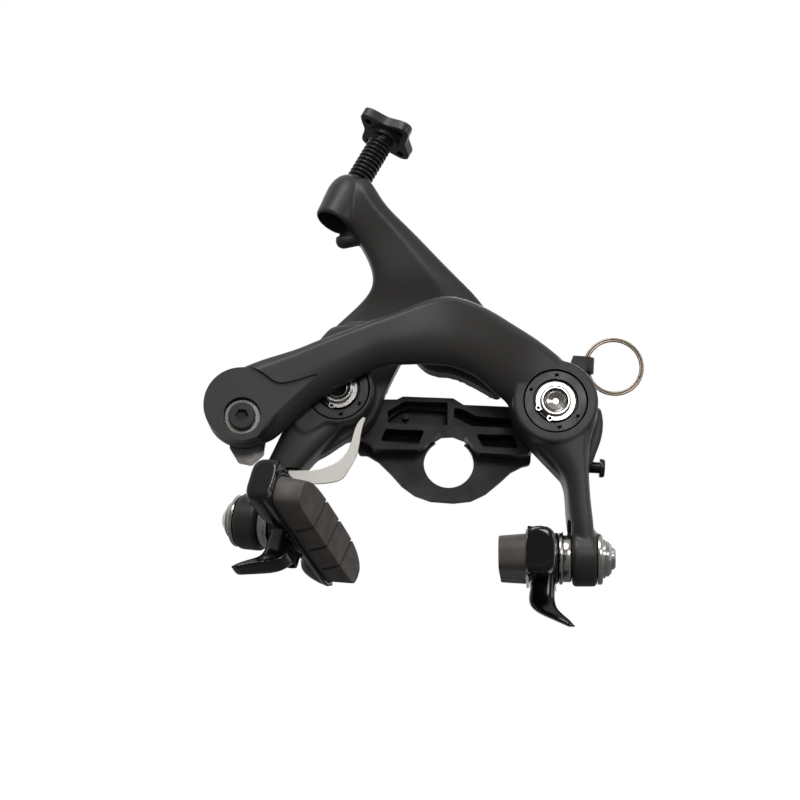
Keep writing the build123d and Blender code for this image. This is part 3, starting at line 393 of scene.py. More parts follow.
def ended_in_bump(tree, start, end, height):
    """Ends a group with a height as its mask and with the bump that it makes."""
    bump = put(tree, "Bump", {"Strength": start["Bump"], "Distance": start["Reach"], "Height": height})
    tree.links.new(height, end["Mask"])
    tree.links.new(bump.outputs[0], end["Normal"])
    return tree


COARSE_SCALE = 0.21
COARSE_SHARE = 0.6
PATCH_LOW = 0.3
PATCH_HIGH = 0.7


def grain_group():
    """Fine grain: noise of two sizes on Object coordinates, as a bump and as a mask."""
    settings = {"Scale": 1800.0, "Bump": 0.1, "Reach": 0.0001}
    tree, start, end = group_tree("Fine grain", settings, {"Mask": 1, "Normal": 3})
    fine = noise(tree, start["Scale"], 3.0)
    coarse = noise(tree, maths(tree, "MULTIPLY", start["Scale"], COARSE_SCALE), 2.0)
    return ended_in_bump(tree, start, end, maths(tree, "MULTIPLY_ADD", coarse, COARSE_SHARE, fine))


def patina_group():
    """Uneven finish: broad noise moves a colour between two shades and gives a mask for roughness."""
    settings = {"Colour": (0.5, 0.5, 0.5, 1.0), "Other": (0.4, 0.4, 0.4, 1.0), "Scale": 90.0}
    settings.update(Smooth=0.4, Rough=0.5)
    tree, start, end = group_tree("Uneven finish", settings, {"Colour": 4, "Roughness": 1})
    broad = noise(tree, start["Scale"], 4.0)
    share = ramp(tree, broad, PATCH_LOW, PATCH_HIGH)
    rough = ramp(tree, broad, PATCH_LOW, PATCH_HIGH, start["Smooth"], start["Rough"])
    tree.links.new(mixed(tree, share, start["Colour"], start["Other"]), end["Colour"])
    tree.links.new(rough, end["Roughness"])
    return tree


def lines_group():
    """Tool lines: noise drawn out along two of the piece's own directions, as a bump and as a mask."""
    settings = {"Turn": (0.0, 0.0, 0.0), "Stretch": (4000.0, 200.0, 200.0), "Bump": 0.1, "Reach": 0.00005}
    tree, start, end = group_tree("Tool lines", settings, {"Mask": 1, "Normal": 3})
    inputs = {"Vector": put(tree, "TexCoord").outputs["Object"], "Rotation": start["Turn"]}
    turn = put(tree, "Mapping", inputs, vector_type="TEXTURE")
    stretch = put(tree, "Mapping", {"Vector": turn.outputs[0], "Scale": start["Stretch"]})
    return ended_in_bump(tree, start, end, noise(tree, 1.0, 3.0, stretch.outputs[0]))


MAKERS = {"grain": grain_group, "patina": patina_group, "lines": lines_group}
GROUPS = {}


def shared(tree, name, *values):
    """Outputs of a shared effect in a tree, with values for its inputs in their order. Its group is
    made the first time that it is asked for."""
    if name not in GROUPS:
        GROUPS[name] = MAKERS[name]()
    return put(tree, "Group", dict(enumerate(values)), node_tree=GROUPS[name]).outputs


def coated(name, colour, shade, patches, smooth, rough):
    """Material with an uneven colour and roughness, its tree and its shader's inputs."""
    material = bpy.data.materials.new(name)
    material.use_nodes = True
    tree = material.node_tree
    surface = tree.nodes["Principled BSDF"].inputs
    other = tuple(channel * shade for channel in colour)
    patina = shared(tree, "patina", (*colour, 1), (*other, 1), patches, smooth, rough)
    tree.links.new(patina["Colour"], surface["Base Color"])
    tree.links.new(patina["Roughness"], surface["Roughness"])
    return material, tree, surface


FINISHES = {}
# Name, darker shade, fineness of the patches, least and most roughness, metal, relief: a grain's scale,
# bump and reach, or tool lines' turn, stretch, bump and reach
TURNED = ("lines", (0, 0, 0), (300.0, 5200.0, 300.0), 0.16, 0.00004)
FINISH_TABLE = {
    "arm": ("Satin dark grey coat", 0.9, 60.0, 0.40, 0.47, 0.0, "grain", 2600.0, 0.10, 0.00006),
    "holder": ("Gloss black coat", 0.7, 120.0, 0.10, 0.17, 0.0, "grain", 900.0, 0.03, 0.00006),
    "knob": ("Satin black knob", 0.8, 150.0, 0.34, 0.44, 0.0, "grain", 2600.0, 0.12, 0.00006),
    "jig": ("Matte black moulding", 0.75, 140.0, 0.42, 0.55, 0.0, "grain", 3400.0, 0.22, 0.00006),
    "cover": ("Black cover moulding", 0.7, 200.0, 0.28, 0.4, 0.0, "grain", 3000.0, 0.15, 0.00005),
    "rubber": ("Brown grey rubber", 0.72, 260.0, 0.56, 0.72, 0.0, "grain", 4200.0, 0.35, 0.00008),
    "bright": ("Turned bright steel", 0.86, 320.0, 0.16, 0.27, 1.0, *TURNED),
    "black_steel": ("Blackened steel", 0.7, 300.0, 0.24, 0.38, 0.85, *TURNED),
    "spring": ("Drawn spring wire", 0.75, 260.0, 0.25, 0.4, 1.0, *TURNED),
    "leaf": (
        "Brushed stainless strip", 0.95, 40.0, 0.34, 0.40, 0.7,
        "lines", (0, 0.35, 0), (5200.0, 900.0, 260.0), 0.03, 0.00002,
    ),
    "nickel": ("Warm nickel plate", 0.9, 40.0, 0.3, 0.36, 1.0),
}
# By the name of the node without its side; the rest are bright
NODE_FINISHES = {
    "front_arm": "arm", "rear_arm": "arm", "pad_holder": "holder", "adjuster_knob": "knob",
    "jig_plate": "jig", "anchor_bolt": "jig", "spring_cover": "cover", "pivot_bush": "cover",
    "link_roller": "cover", "brake_pad": "rubber", "torsion_spring": "spring", "return_leaf": "leaf",
    "pull_ring": "nickel", "adjuster_barrel": "black_steel", "cable_ferrule": "black_steel",
    "centring_screw": "black_steel",
}
WELD_REACH = 0.000002


def dress(piece, finish, body, node):
    """Gives a new piece its finish and its place among the bodies, and hides the solid that it stands for."""
    piece.data.materials.clear()
    piece.data.materials.append(FINISHES[finish])
    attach(piece, body)
    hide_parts(node)


class CALIPER_OT_finishes(bpy.types.Operator):
    """Gives every solid of the frame its finish, and rounds its edges a little"""

    bl_idname = "caliper.finishes"
    bl_label = "Finish the solids"

    def execute(self, context):
        for key, (name, shade, patches, smooth, rough, metallic, *relief) in FINISH_TABLE.items():
            colour = tuple(getattr(context.scene.caliper_colours, key))
            material, tree, surface = coated(name, colour, shade, patches, smooth, rough)
            surface["Metallic"].default_value = metallic
            if relief:
                tree.links.new(shared(tree, *relief)["Normal"], surface["Normal"])
            FINISHES[key] = material
        for name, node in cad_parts.items():
            plain = name.removeprefix("left_").removeprefix("right_")
            node.data.materials.clear()
            node.data.materials.append(FINISHES[NODE_FINISHES.get(plain, "bright")])
            node.modifiers.new("Weld", "WELD").merge_threshold = WELD_REACH
            bevelled(node)
        return {"FINISHED"}


# Arms. Sizes in millimetres; a station is X and Z of its low point and of its high point, and its
# front depth and back depth

ARM_FACE = 0.6
ARM_BACK = 15.5
PIVOT_BOSS = 11.0
POCKET = 8.35
POCKET_DEPTH = 9.0
BUSH_BORE = 5.02
FRONT_PIVOT = [(PIVOT_BOSS - 0.5, ARM_FACE), (PIVOT_BOSS, ARM_FACE + 0.5), (PIVOT_BOSS, ARM_BACK)]
REAR_PIVOT = [(9.2, ARM_FACE), (9.35, ARM_FACE + 0.3), (9.35, 8.2)]
ARM_SECTION = np.array([
    (0.00, 4.2, 0), (0.05, 2.3, 0), (0.20, 0.9, 0), (0.42, 0.1, 0), (0.66, 0.0, 0), (0.86, 0.0, 0),
    (0.89, 0.0, 0), (0.99, 1.3, 0), (1.01, 1.9, 0), (1.01, -1.6, 1), (0.99, -0.1, 1), (0.80, 0.0, 1),
    (0.45, 0.0, 1), (0.12, 0.0, 1), (0.00, -0.3, 1), (-0.01, -1.6, 1),
])
FRONT_STATIONS = [
    (-46.4, -16.4, -51.6, 2.4, -8.4, -0.4), (-43.0, -14.7, -47.6, 4.3, -8.4, -0.4),
    (-38.6, -10.0, -42.8, 6.2, -8.4, -0.4), (-34.8, -5.9, -37.9, 8.2, -8.4, -0.4),
    (-30.4, -2.3, -33.9, 10.2, -8.4, -0.4), (-24.4, 1.6, -27.7, 13.0, -8.4, -0.4),
    (-17.9, 5.3, -21.4, 15.9, -8.4, -0.4), (-11.4, 6.6, -13.6, 19.4, -8.4, -0.4),
    (-2.3, 7.4, -4.4, 23.7, -7.6, 0.6), (3.4, 6.9, 2.2, 24.3, -6.4, 2.6), (7.9, 5.2, 9.8, 22.2, -4.4, 4.6),
    (11.5, 2.9, 16.4, 19.2, -2.2, 6.6), (15.6, 0.4, 23.4, 15.6, -0.3, 9.2),
    (16.6, -1.4, 31.0, 9.9, 0.5, 12.0), (17.3, -3.1, 36.6, 3.6, 0.7, 14.0),
    (19.0, -5.6, 38.9, -1.6, 0.8, 15.0), (22.8, -9.4, 38.0, -6.9, 0.8, 15.3),
    (28.4, -15.2, 37.2, -12.6, 0.8, 15.4), (31.6, -20.4, 37.6, -19.4, 0.8, 15.4),
    (32.5, -26.5, 38.3, -25.4, 0.8, 15.4), (33.3, -32.0, 39.2, -31.2, 0.8, 15.4),
    (33.9, -38.0, 39.9, -37.6, 1.2, 15.0),
]
FRONT_WEB = [
    (17.6, -1.0), (18.4, -4.1), (21.4, -9.2), (25.8, -13.6), (29.2, -16.8), (31.9, -19.4), (34.6, -24.0),
    (37.0, -20.0), (39.2, -12.1), (40.8, -7.3), (41.0, -2.5), (39.6, 2.0),
]
FRONT_WEB_FACE = 7.5
DISC_CENTRE = (-51.7, 0, -7.4)
DISC_PROFILE = [
    (0.0, -8.3), (8.9, -8.3), (9.4, -8.0), (9.5, -7.4), (9.5, -3.2), (9.2, -3.0), (9.2, -2.6), (9.5, -2.4),
    (9.5, 2.4), (9.2, 2.8), (8.6, 3.0), (0.0, 3.0),
]
STEP_DEPTH = -7.4
STEP_EDGE = [
    (-53.4, 3.2), (-50.9, 2.5), (-48.9, 1.9), (-46.9, 1.0), (-45.5, 0.0), (-44.2, -0.9), (-42.8, -1.5),
    (-41.2, -1.5), (-39.0, -0.9), (-36.4, 0.1), (-33.2, 1.3), (-32.6, 1.1), (-34.2, -0.3), (-37.6, -3.8),
    (-41.4, -8.0), (-44.6, -12.0), (-46.2, -14.6), (-47.4, -17.0), (-51.0, -18.4), (-58.0, -18.0),
    (-63.0, -12.0), (-63.0, -3.0), (-59.0, 3.0),
]
ANCHOR_BOLT = (-51.2, 0, -10.4)
ANCHOR_SEAT = 4.75
ANCHOR_HOLE = 2.6
UPPER_SECTION = np.array([
    (-0.01, 3.0, 0), (0.04, 1.9, 0), (0.14, 1.2, 0), (0.40, 0.6, 0), (0.68, 0.1, 0), (0.72, 0.0, 0),
    (0.92, 0.9, 0), (1.00, 1.9, 0), (1.01, 3.0, 0), (1.01, -2.0, 1), (0.99, -0.3, 1), (0.86, 0.0, 1),
    (0.50, 0.0, 1), (0.14, 0.0, 1), (0.01, -0.3, 1), (-0.01, -2.0, 1),
])
UPPER_STATIONS = [
    (-33.2, 52.0, -24.8, 59.4, 5.0, 14.4), (-31.6, 49.0, -22.4, 56.6, 4.0, 14.4),
    (-28.2, 45.4, -19.1, 52.1, 4.2, 14.2), (-24.7, 40.8, -12.8, 46.3, 5.0, 14.2),
    (-21.9, 35.5, -6.1, 40.0, 5.2, 14.2), (-21.2, 30.3, 0.6, 33.8, 5.8, 14.2),
    (-23.7, 25.8, 6.7, 28.2, 7.0, 14.2), (-29.1, 20.0, 12.0, 20.4, 8.0, 14.2),
    (-32.4, 16.2, 13.2, 15.0, 8.2, 14.2),
]
STRUT_SECTION = np.array([
    (0.00, 1.8, 0), (0.05, 0.5, 0), (0.22, 0.0, 0), (0.55, 0.0, 0), (0.80, 0.1, 0), (0.96, 0.7, 0),
    (1.01, 2.0, 0), (1.01, -2.0, 1), (0.97, -0.3, 1), (0.80, 0.0, 1), (0.50, 0.0, 1), (0.20, 0.0, 1),
    (0.03, -0.3, 1), (0.00, -2.0, 1),
])
REAR_STRUT_STATIONS = [
    (-37.4, -2.0, -25.5, -8.5, 1.2, 15.0), (-40.4, -8.5, -29.5, -13.5, 0.8, 15.2),
    (-43.8, -17.4, -35.2, -20.4, 0.9, 15.4), (-46.2, -23.0, -38.8, -25.6, 1.3, 15.9),
    (-48.0, -27.6, -41.2, -29.6, 2.2, 16.8), (-50.2, -33.4, -43.4, -35.0, 4.6, 17.6),
]
REAR_WEB = [
    (-29.1, 20.0), (12.0, 20.4), (14.0, 14.0), (14.6, 6.0), (14.2, 1.5), (8.9, 4.2), (2.2, 7.5), (-5.2, 7.6),
    (-9.2, 11.5), (-10.6, 13.2), (-12.0, 11.2), (-13.8, 7.1), (-16.5, 0.4), (-19.0, -5.4), (-21.9, -9.3),
    (-26.6, -12.6), (-30.6, -15.9), (-36.0, -18.5), (-40.0, -10.0), (-39.0, -2.0), (-38.0, 6.0),
    (-34.0, 15.0),
]
REAR_WEB_FACE = 8.0
REAR_WEB_BACK = 14.2
PLATEAU = [
    (-17.9, 6.4), (-22.0, -3.0), (-26.9, -7.2), (-32.3, -10.4), (-36.0, -12.9), (-39.5, -9.5), (-39.0, -2.0),
    (-37.5, 6.0), (-30.0, 10.2),
]
LEAF_SEAT = [(-39.8, -21.4), (-31.0, -20.9), (-31.0, -26.0), (-40.0, -25.5)]
LEAF_SEAT_BACK = 2.75
ADJUSTER_MOUTH = (-32.7, 8.2, 46.5)
ADJUSTER_TILT = (23.6, 12.4)
BOSS_PROFILE = [
    (4.9, 0.0), (5.2, 0.5), (5.4, 3.0), (5.7, 6.0), (5.9, 8.5), (5.7, 10.5), (5.1, 12.2), (4.1, 13.5),
    (3.7, 13.8),
]
MOUTH_PROFILE = [(4.45, -2.0), (4.3, 1.5), (4.0, 6.5)]
HOOK_PROFILE = [(0.3, -2.1), (1.4, -1.7), (2.1, -0.7), (2.2, 0.0), (2.2, 6.0)]
BARREL_HOLE = 3.42
HOOK_CENTRE = (-29.8, 11.0, 42.6)
HOOK_AXIS = (1, 0, 0.28)
LINK_PIN = (0, 0, 13.0)
LINK_SLOT_END = (7.72, 0, 11.08)
LINK_SLOT_RADIUS = 2.9
PIN_HOLE = 1.55
CENTRING_SCREW = (38.3, 9.0, -15.1)
ARM_END = (10.95, 17.45)
ARM_END_RADIUS = 7.3
ARM_END_CHAMFER = 0.7
FACING_RADIUS = 7.4
SLOT_TRAVEL = 5.0
SLOT_WIDTH = 6.4
# Turn of each pad about Z, roll about Y, pitch about its own face, origin on its back, side of the rim
SEATS = {
    "left": (19.0, 5.0, 17.0, (-34.2, 5.8, -35.6), 1),
    "right": (2.8, 3.0, -4.0, (23.4, 8.0, -39.8), -1),
}


def seat_frame(side):
    """Origin on the back of a pad and its three directions: along the pad, up it and to the rim."""
    yaw, roll, pitch, origin, hand = SEATS[side]
    yaw, roll, pitch = np.radians([yaw, roll, pitch])
    facing = np.array([hand * np.cos(yaw) * np.cos(roll), -hand * np.sin(yaw) * np.cos(roll), -np.sin(roll)])
    level = np.array([np.sin(yaw), np.cos(yaw), 0])
    turn = -hand * pitch
    along = level * np.cos(turn) + np.cross(facing, level) * np.sin(turn)
    along += facing * np.dot(facing, level) * (1 - np.cos(turn))
    return np.array(origin), along, hand * np.cross(facing, along), facing


def clamp_end(side):
    """Round clamp of an arm with a small chamfer on both rims."""
    origin, _, _, facing = seat_frame(side)
    start, stop = ARM_END
    radius, corner = ARM_END_RADIUS, ARM_END_CHAMFER
    near = [(radius - corner, -start - 0.05), (radius, -start - corner)]
    far = [(radius, -stop + corner), (radius - corner, -stop + 0.05)]
    return turned(near + far, origin, facing, 96)


def clamp_cutters(side):
    """Flat facings for the washers on both sides of a clamp, and the slot of the pad bolt."""
    place = seat_frame(side)
    seat = capsule(SLOT_TRAVEL, FACING_RADIUS)
    slot = capsule(SLOT_TRAVEL, SLOT_WIDTH / 2)
    start, stop = ARM_END
    return [
        wall(seat, -start, -start + 6, *place),
        wall(seat, -stop, -stop - 6, *place),
        wall(slot, -start + 4, -stop - 4, *place),
    ]


def adjuster_axis():
    """Direction of the cable adjuster, up from the mouth of its boss."""
    side, back = np.radians(ADJUSTER_TILT)
    return np.array([np.sin(side) * np.cos(back), np.sin(back), np.cos(side) * np.cos(back)])


def pivot_cutters(x):
    """Spring pocket, bush bore and flat back of a pivot."""
    return [
        bar(POCKET, -12, POCKET_DEPTH, (x, 0, 0), around=96),
        bar(BUSH_BORE, POCKET_DEPTH - 1, ARM_BACK + 2, (x, 0, 0)),
        bar(PIVOT_BOSS, ARM_BACK, ARM_BACK + 5, (x, 0, 0)),
    ]


class CALIPER_OT_arms(bpy.types.Operator):
    """Builds both arms, each as one blended skin with its bores, slots and steps cut"""

    bl_idname = "caliper.arms"
    bl_label = "Build the arms"

    def execute(self, context):
        sizes = context.scene.caliper_sizes
        self.front_arm(sizes.voxel, sizes.smoothing)
        self.rear_arm(sizes.voxel, sizes.smoothing)
        return {"FINISHED"}

    def front_arm(self, voxel, smoothing):
        """Cable disc, arch, pivot, strut and right clamp."""
        shells = [
            limb_net(FRONT_STATIONS, ARM_SECTION),
            turned(DISC_PROFILE, DISC_CENTRE, (0, 1, 0), 128),
            turned(FRONT_PIVOT, (PIVOT_X, 0, 0), (0, 1, 0), 128),
            wall(rounded(FRONT_WEB), FRONT_WEB_FACE, ARM_BACK - 0.1),
            clamp_end("right"),
        ]
        piece = fused("front_arm_skin", shells, voxel, smoothing)
        cutters = [
            wall(rounded(STEP_EDGE, 2), STEP_DEPTH, -12),
            bar(ANCHOR_SEAT, -12, -5.0, ANCHOR_BOLT),
            bar(ANCHOR_HOLE, -6, 5, ANCHOR_BOLT),
            bar(PIN_HOLE, -2.4, 12, LINK_PIN),
            bar(PIN_HOLE, -7.6, 7.6, CENTRING_SCREW, (1, 0, 0), 48),
            *pivot_cutters(PIVOT_X),
            *clamp_cutters("right"),
        ]
        cut(piece, cutters)
        dress(piece, "arm", "front_arm_body", "front_arm")

    def rear_arm(self, voxel, smoothing):
        """Adjuster boss, upper limb, web, pivot, plateau, strut and left clamp."""
        axis = adjuster_axis()
        shells = [
            limb_net(UPPER_STATIONS, UPPER_SECTION),
            wall(rounded(REAR_WEB), REAR_WEB_FACE, REAR_WEB_BACK),
            turned(REAR_PIVOT, (-PIVOT_X, 0, 0), (0, 1, 0), 128),
            bar(PIVOT_BOSS, REAR_WEB_FACE, ARM_BACK, (-PIVOT_X, 0, 0), around=128),
            wall(rounded(PLATEAU), ARM_FACE, POCKET_DEPTH),
            limb_net(REAR_STRUT_STATIONS, STRUT_SECTION),
            clamp_end("left"),
            turned(BOSS_PROFILE, ADJUSTER_MOUTH, axis, 96),
            turned(HOOK_PROFILE, HOOK_CENTRE, HOOK_AXIS, 48),
        ]
        piece = fused("rear_arm_skin", shells, voxel, smoothing)
        run = np.subtract(LINK_SLOT_END, LINK_PIN)
        middle = np.add(LINK_SLOT_END, LINK_PIN) / 2
        slot = capsule(np.linalg.norm(run) + 1.0, LINK_SLOT_RADIUS)
        across = unit(np.cross(run, (0, 1, 0)))
        cutters = [
            turned(MOUTH_PROFILE, ADJUSTER_MOUTH, axis, 96),
            bar(BARREL_HOLE, 6.0, 22.0, ADJUSTER_MOUTH, axis, 96),
            wall(slot, 5.0, 17.0, middle, across, unit(run)),
            wall(LEAF_SEAT, ARM_FACE - 2, LEAF_SEAT_BACK),
            *pivot_cutters(-PIVOT_X),
            *clamp_cutters("left"),
        ]
        cut(piece, cutters)
        dress(piece, "arm", "rear_arm_body", "rear_arm")


# Pads and holders, in a pad's own directions: along it, up it and towards the rim

PAD_HALF = 24.0
PAD_BASE_HEIGHT = 5.2
PAD_FACE_HEIGHT = 4.7
PAD_BACK = 0.05
PAD_DEPTH = 7.4
PAD_NEAR_SLOPE = 1.3
PAD_FAR_SLOPE = 0.5
CHEVRONS = (-9.8, 0.7, 11.5)
CHEVRON_WIDTH = 1.0
FACE_SLANT = 0.33
SIDE_SLANT = 0.45
SIDE_START = 1.3
PAD_EDGE = 0.4
PAD_COUNTS = (5, 34, 42, 16)
PAD_ROW = 0.1
PAD_ENDS = 0.9995
SQUARE_POWER = 18
ROUND_POWER = 4
RIM_BAND = 0.2
RIB_FADE = 0.6
GROOVE_WALL = 0.2
GROOVE_RISE = 0.5
HOLDER_LIP = 0.7
HOLDER_VOXEL = 0.00028
HOLDER_SMOOTHING = 3
HOLDER_MARGIN = 1.05
POCKET_GAP = 0.3
NOSE_STATIONS = [
    (-25.4, -4.6, 4.9, -5.2), (-25.2, -5.4, 5.5, -6.0), (-24.4, -5.9, 5.9, -6.5), (-21.0, -6.0, 5.95, -6.8),
    (-16.0, -6.0, 5.95, -6.9), (-13.2, -6.0, 5.9, -6.7), (-11.2, -6.0, 5.6, -5.6), (-9.4, -5.9, 5.0, -3.4),
    (-8.2, -5.7, 4.4, -1.4),
]
TRAY_STATIONS = [
    (-25.2, -5.1, 4.4, -1.2), (-24.6, -5.8, 5.4, -1.3), (-22.0, -5.95, 5.9, -1.3), (0.0, -5.95, 5.95, -1.3),
    (19.0, -5.95, 5.8, -1.3), (23.0, -5.7, 5.0, -1.3), (24.8, -5.0, 3.6, -1.2), (25.4, -4.0, 2.4, -1.1),
]
SHOE_STATIONS = [
    (6.0, -5.6, 5.2, -2.0), (11.0, -5.9, 5.6, -3.8), (15.0, -5.95, 5.6, -5.0), (18.5, -5.9, 5.4, -4.8),
    (21.8, -5.7, 4.9, -3.4), (24.0, -5.1, 4.0, -1.7), (24.8, -4.4, 3.2, -0.6),
]
TRAY_COUNTS = (8, 6, 8, 6)
TRAY_INSET = 0.3
SPINE_STATIONS = [(-14.0, -2.6, 2.6, -3.2), (0.0, -2.8, 2.8, -3.6), (14.0, -2.6, 2.6, -3.2)]
HUB_PROFILE = [(6.3, 0.5), (6.7, -1.6), (6.35, -3.4), (6.75, -3.7), (6.75, -7.1), (6.3, -7.7)]
FIN_ROUNDNESS = 0.45
FIN_STATIONS = [
    (-3.0, 0.0, -4.0, 11.0, 6.0), (-7.5, -1.2, -3.6, 9.4, 6.4), (-11.5, -3.4, -3.4, 6.8, 6.6),
    (-14.2, -5.2, -5.2, 7.2, 6.0), (-16.2, -7.0, -8.2, 6.4, 4.2), (-18.0, -8.6, -10.8, 4.8, 1.7),
]
SCREW_BOSS = [(2.4, -4.4), (4.4, -2.4), (7.0, -2.1), (9.0, -3.0), (9.3, -5.2), (8.0, -7.0), (5.0, -7.1)]
SCREW_RECESS = [(3.3, -4.4), (5.0, -3.0), (6.8, -2.7), (8.3, -3.6), (8.6, -5.0), (7.6, -6.3), (5.2, -6.4)]
SCREW_CENTRE = (6.0, 0, -4.6)
SCREW_LEVEL = -8.0
SCREW_HOLE = 1.34
RECESS_DEPTH = 0.9
BOLT_HOLE = 3.05


def placed(side, points):
    """Points of a pad's own directions, set in the object's frame."""
    origin, along, up, facing = seat_frame(side)
    return origin + points @ np.stack([along, up, facing])


def soft_loop(corners, radius, counts, turn=5):
    """Closed loop of straight runs between corners, each corner rounded by a parabola."""
    corners = np.asarray(corners, float)
    before = np.roll(corners, 1, axis=0) - corners
    after = np.roll(corners, -1, axis=0) - corners
    start = corners + before / np.linalg.norm(before, axis=1)[:, None] * radius
    stop = corners + after / np.linalg.norm(after, axis=1)[:, None] * radius
    t = np.linspace(0, 1, turn)[:, None]
    runs = []
    for number, corner in enumerate(corners):
        runs.append((1 - t) ** 2 * start[number] + 2 * t * (1 - t) * corner + t**2 * stop[number])
        s = np.linspace(0, 1, counts[number] + 2)[1:-1, None]
        runs.append(stop[number] * (1 - s) + start[(number + 1) % len(corners)] * s)
    return np.concatenate(runs)


def step_up(value):
    """Smooth step from 0 to 1 as a value goes from 0 to 1."""
    value = np.clip(value, 0, 1)
    return value * value * (3 - 2 * value)


def pad_plan(share):
    """Half heights of a pad below and above its middle: superellipses, squarer below."""
    share = np.abs(share)
    return (1 - share**SQUARE_POWER) ** (1 / 3), (1 - share**ROUND_POWER) ** 0.5


def pad_grid(rib_pitch, rib_depth, groove_depth):
    """Surface of a pad. Its first parameter runs along the pad and its second round a tapered
    section. Fine ribs are a cosine across the braking face, and the wide grooves follow a
    chevron that crosses the face at one slant and the sides at another."""
    corners = [
        (PAD_BASE_HEIGHT, PAD_BACK), (-PAD_BASE_HEIGHT, PAD_BACK), (-PAD_FACE_HEIGHT, PAD_DEPTH),
        (PAD_FACE_HEIGHT, PAD_DEPTH),
    ]
    loop = soft_loop(corners, PAD_EDGE, PAD_COUNTS)
    ahead = np.roll(loop, -1, axis=0) - np.roll(loop, 1, axis=0)
    inward = np.stack([ahead[:, 1], -ahead[:, 0]], axis=1) / np.linalg.norm(ahead, axis=1)[:, None]
    inward *= np.sign(np.sum(inward * (np.array([0, PAD_DEPTH / 2]) - loop), axis=1).mean())
    share = np.linspace(-PAD_ENDS, PAD_ENDS, int(2 * PAD_HALF / PAD_ROW))
    below, above = pad_plan(share)
    height = loop[:, 0] * np.where(loop[:, 0] < 0, below[:, None], above[:, None])
    depth = np.broadcast_to(loop[:, 1], height.shape)
    rise = depth / PAD_DEPTH
    near = -PAD_HALF + PAD_NEAR_SLOPE * rise
    far = PAD_HALF + PAD_FAR_SLOPE * rise
    along = (near + far) / 2 + (far - near) / 2 * share[:, None]
    face = step_up((loop[:, 1] - PAD_DEPTH + RIM_BAND) / RIM_BAND)
    ribs = 0.5 - 0.5 * np.cos(2 * np.pi * (along - FACE_SLANT * height) / rib_pitch)
    inside = step_up((along - near) / RIB_FADE) * step_up((far - along) / RIB_FADE)
    sunk = ribs * rib_depth * face * inside
    crossing = FACE_SLANT * (np.clip(height, -PAD_FACE_HEIGHT, PAD_FACE_HEIGHT) + PAD_FACE_HEIGHT)
    crossing = crossing + SIDE_SLANT * (PAD_DEPTH - depth)
    for middle in CHEVRONS:
        away = np.abs(along - middle - crossing)
        groove = step_up((CHEVRON_WIDTH / 2 + GROOVE_WALL / 2 - away) / GROOVE_WALL)
        groove *= step_up((depth - SIDE_START) / GROOVE_RISE)
        sunk = np.maximum(sunk, groove * groove_depth)
    height = height + sunk * inward[:, 0]
    depth = depth + sunk * inward[:, 1]
    return np.stack([along, height, depth], axis=-1)


def tray_net(stations, front, radius=0.8):
    """Surface of a holder's form: soft loops of four corners, splined along the stations."""
    rows = []
    for place, low, high, back in stations:
        corners = [(low, front), (high, front), (high - TRAY_INSET, back), (low + TRAY_INSET, back)]
        loop = soft_loop(corners, radius, TRAY_COUNTS)
        rows.append(np.column_stack([np.full(len(loop), place), loop]))
    return evenly_splined(rows, 6)


def fin_net():
    """Surface of the fin: rounded sections, splined from the hub to the tip."""
    angle = np.linspace(0, 2 * np.pi, 48, endpoint=False)
    out, side = (np.sign(wave) * np.abs(wave) ** FIN_ROUNDNESS for wave in (np.cos(angle), np.sin(angle)))
    rows = [
        np.stack([along + out * length / 2, np.full(48, height), rim + side * thickness / 2], axis=1)
        for height, along, rim, length, thickness in FIN_STATIONS
    ]
    return evenly_splined(rows, 8)


def pad_wall(margin, start, stop):
    """Wall round a pad's outline with a margin, between two depths."""
    share = np.cos(np.linspace(0, np.pi, 90))
    below, above = pad_plan(share * 0.9999)
    low = np.stack([share * (PAD_HALF + margin), -below * (PAD_BASE_HEIGHT + margin)], axis=1)
    high = np.stack([share * (PAD_HALF + margin), above * (PAD_BASE_HEIGHT + margin)], axis=1)[::-1]
    outline = np.concatenate([low, high[1:-1]])
    return wall(outline, start, stop, up=(0, 1, 0), axis=(0, 0, 1))


class CALIPER_OT_pads(bpy.types.Operator):
    """Builds both brake pads, with their fine ribs and chevron grooves"""

    bl_idname = "caliper.pads"
    bl_label = "Build the brake pads"

    def execute(self, context):
        sizes = context.scene.caliper_sizes
        grid = pad_grid(sizes.rib_pitch * 1000, sizes.rib_depth * 1000, sizes.groove_depth * 1000)
        for side in ("left", "right"):
            piece = shell_object(f"{side}_ribbed_pad", [placed(side, grid)])
            smoothed(piece.data, PAD_SHARP_ANGLE)
            dress(piece, "rubber", f"{side}_pad", f"{side}_brake_pad")
        return {"FINISHED"}


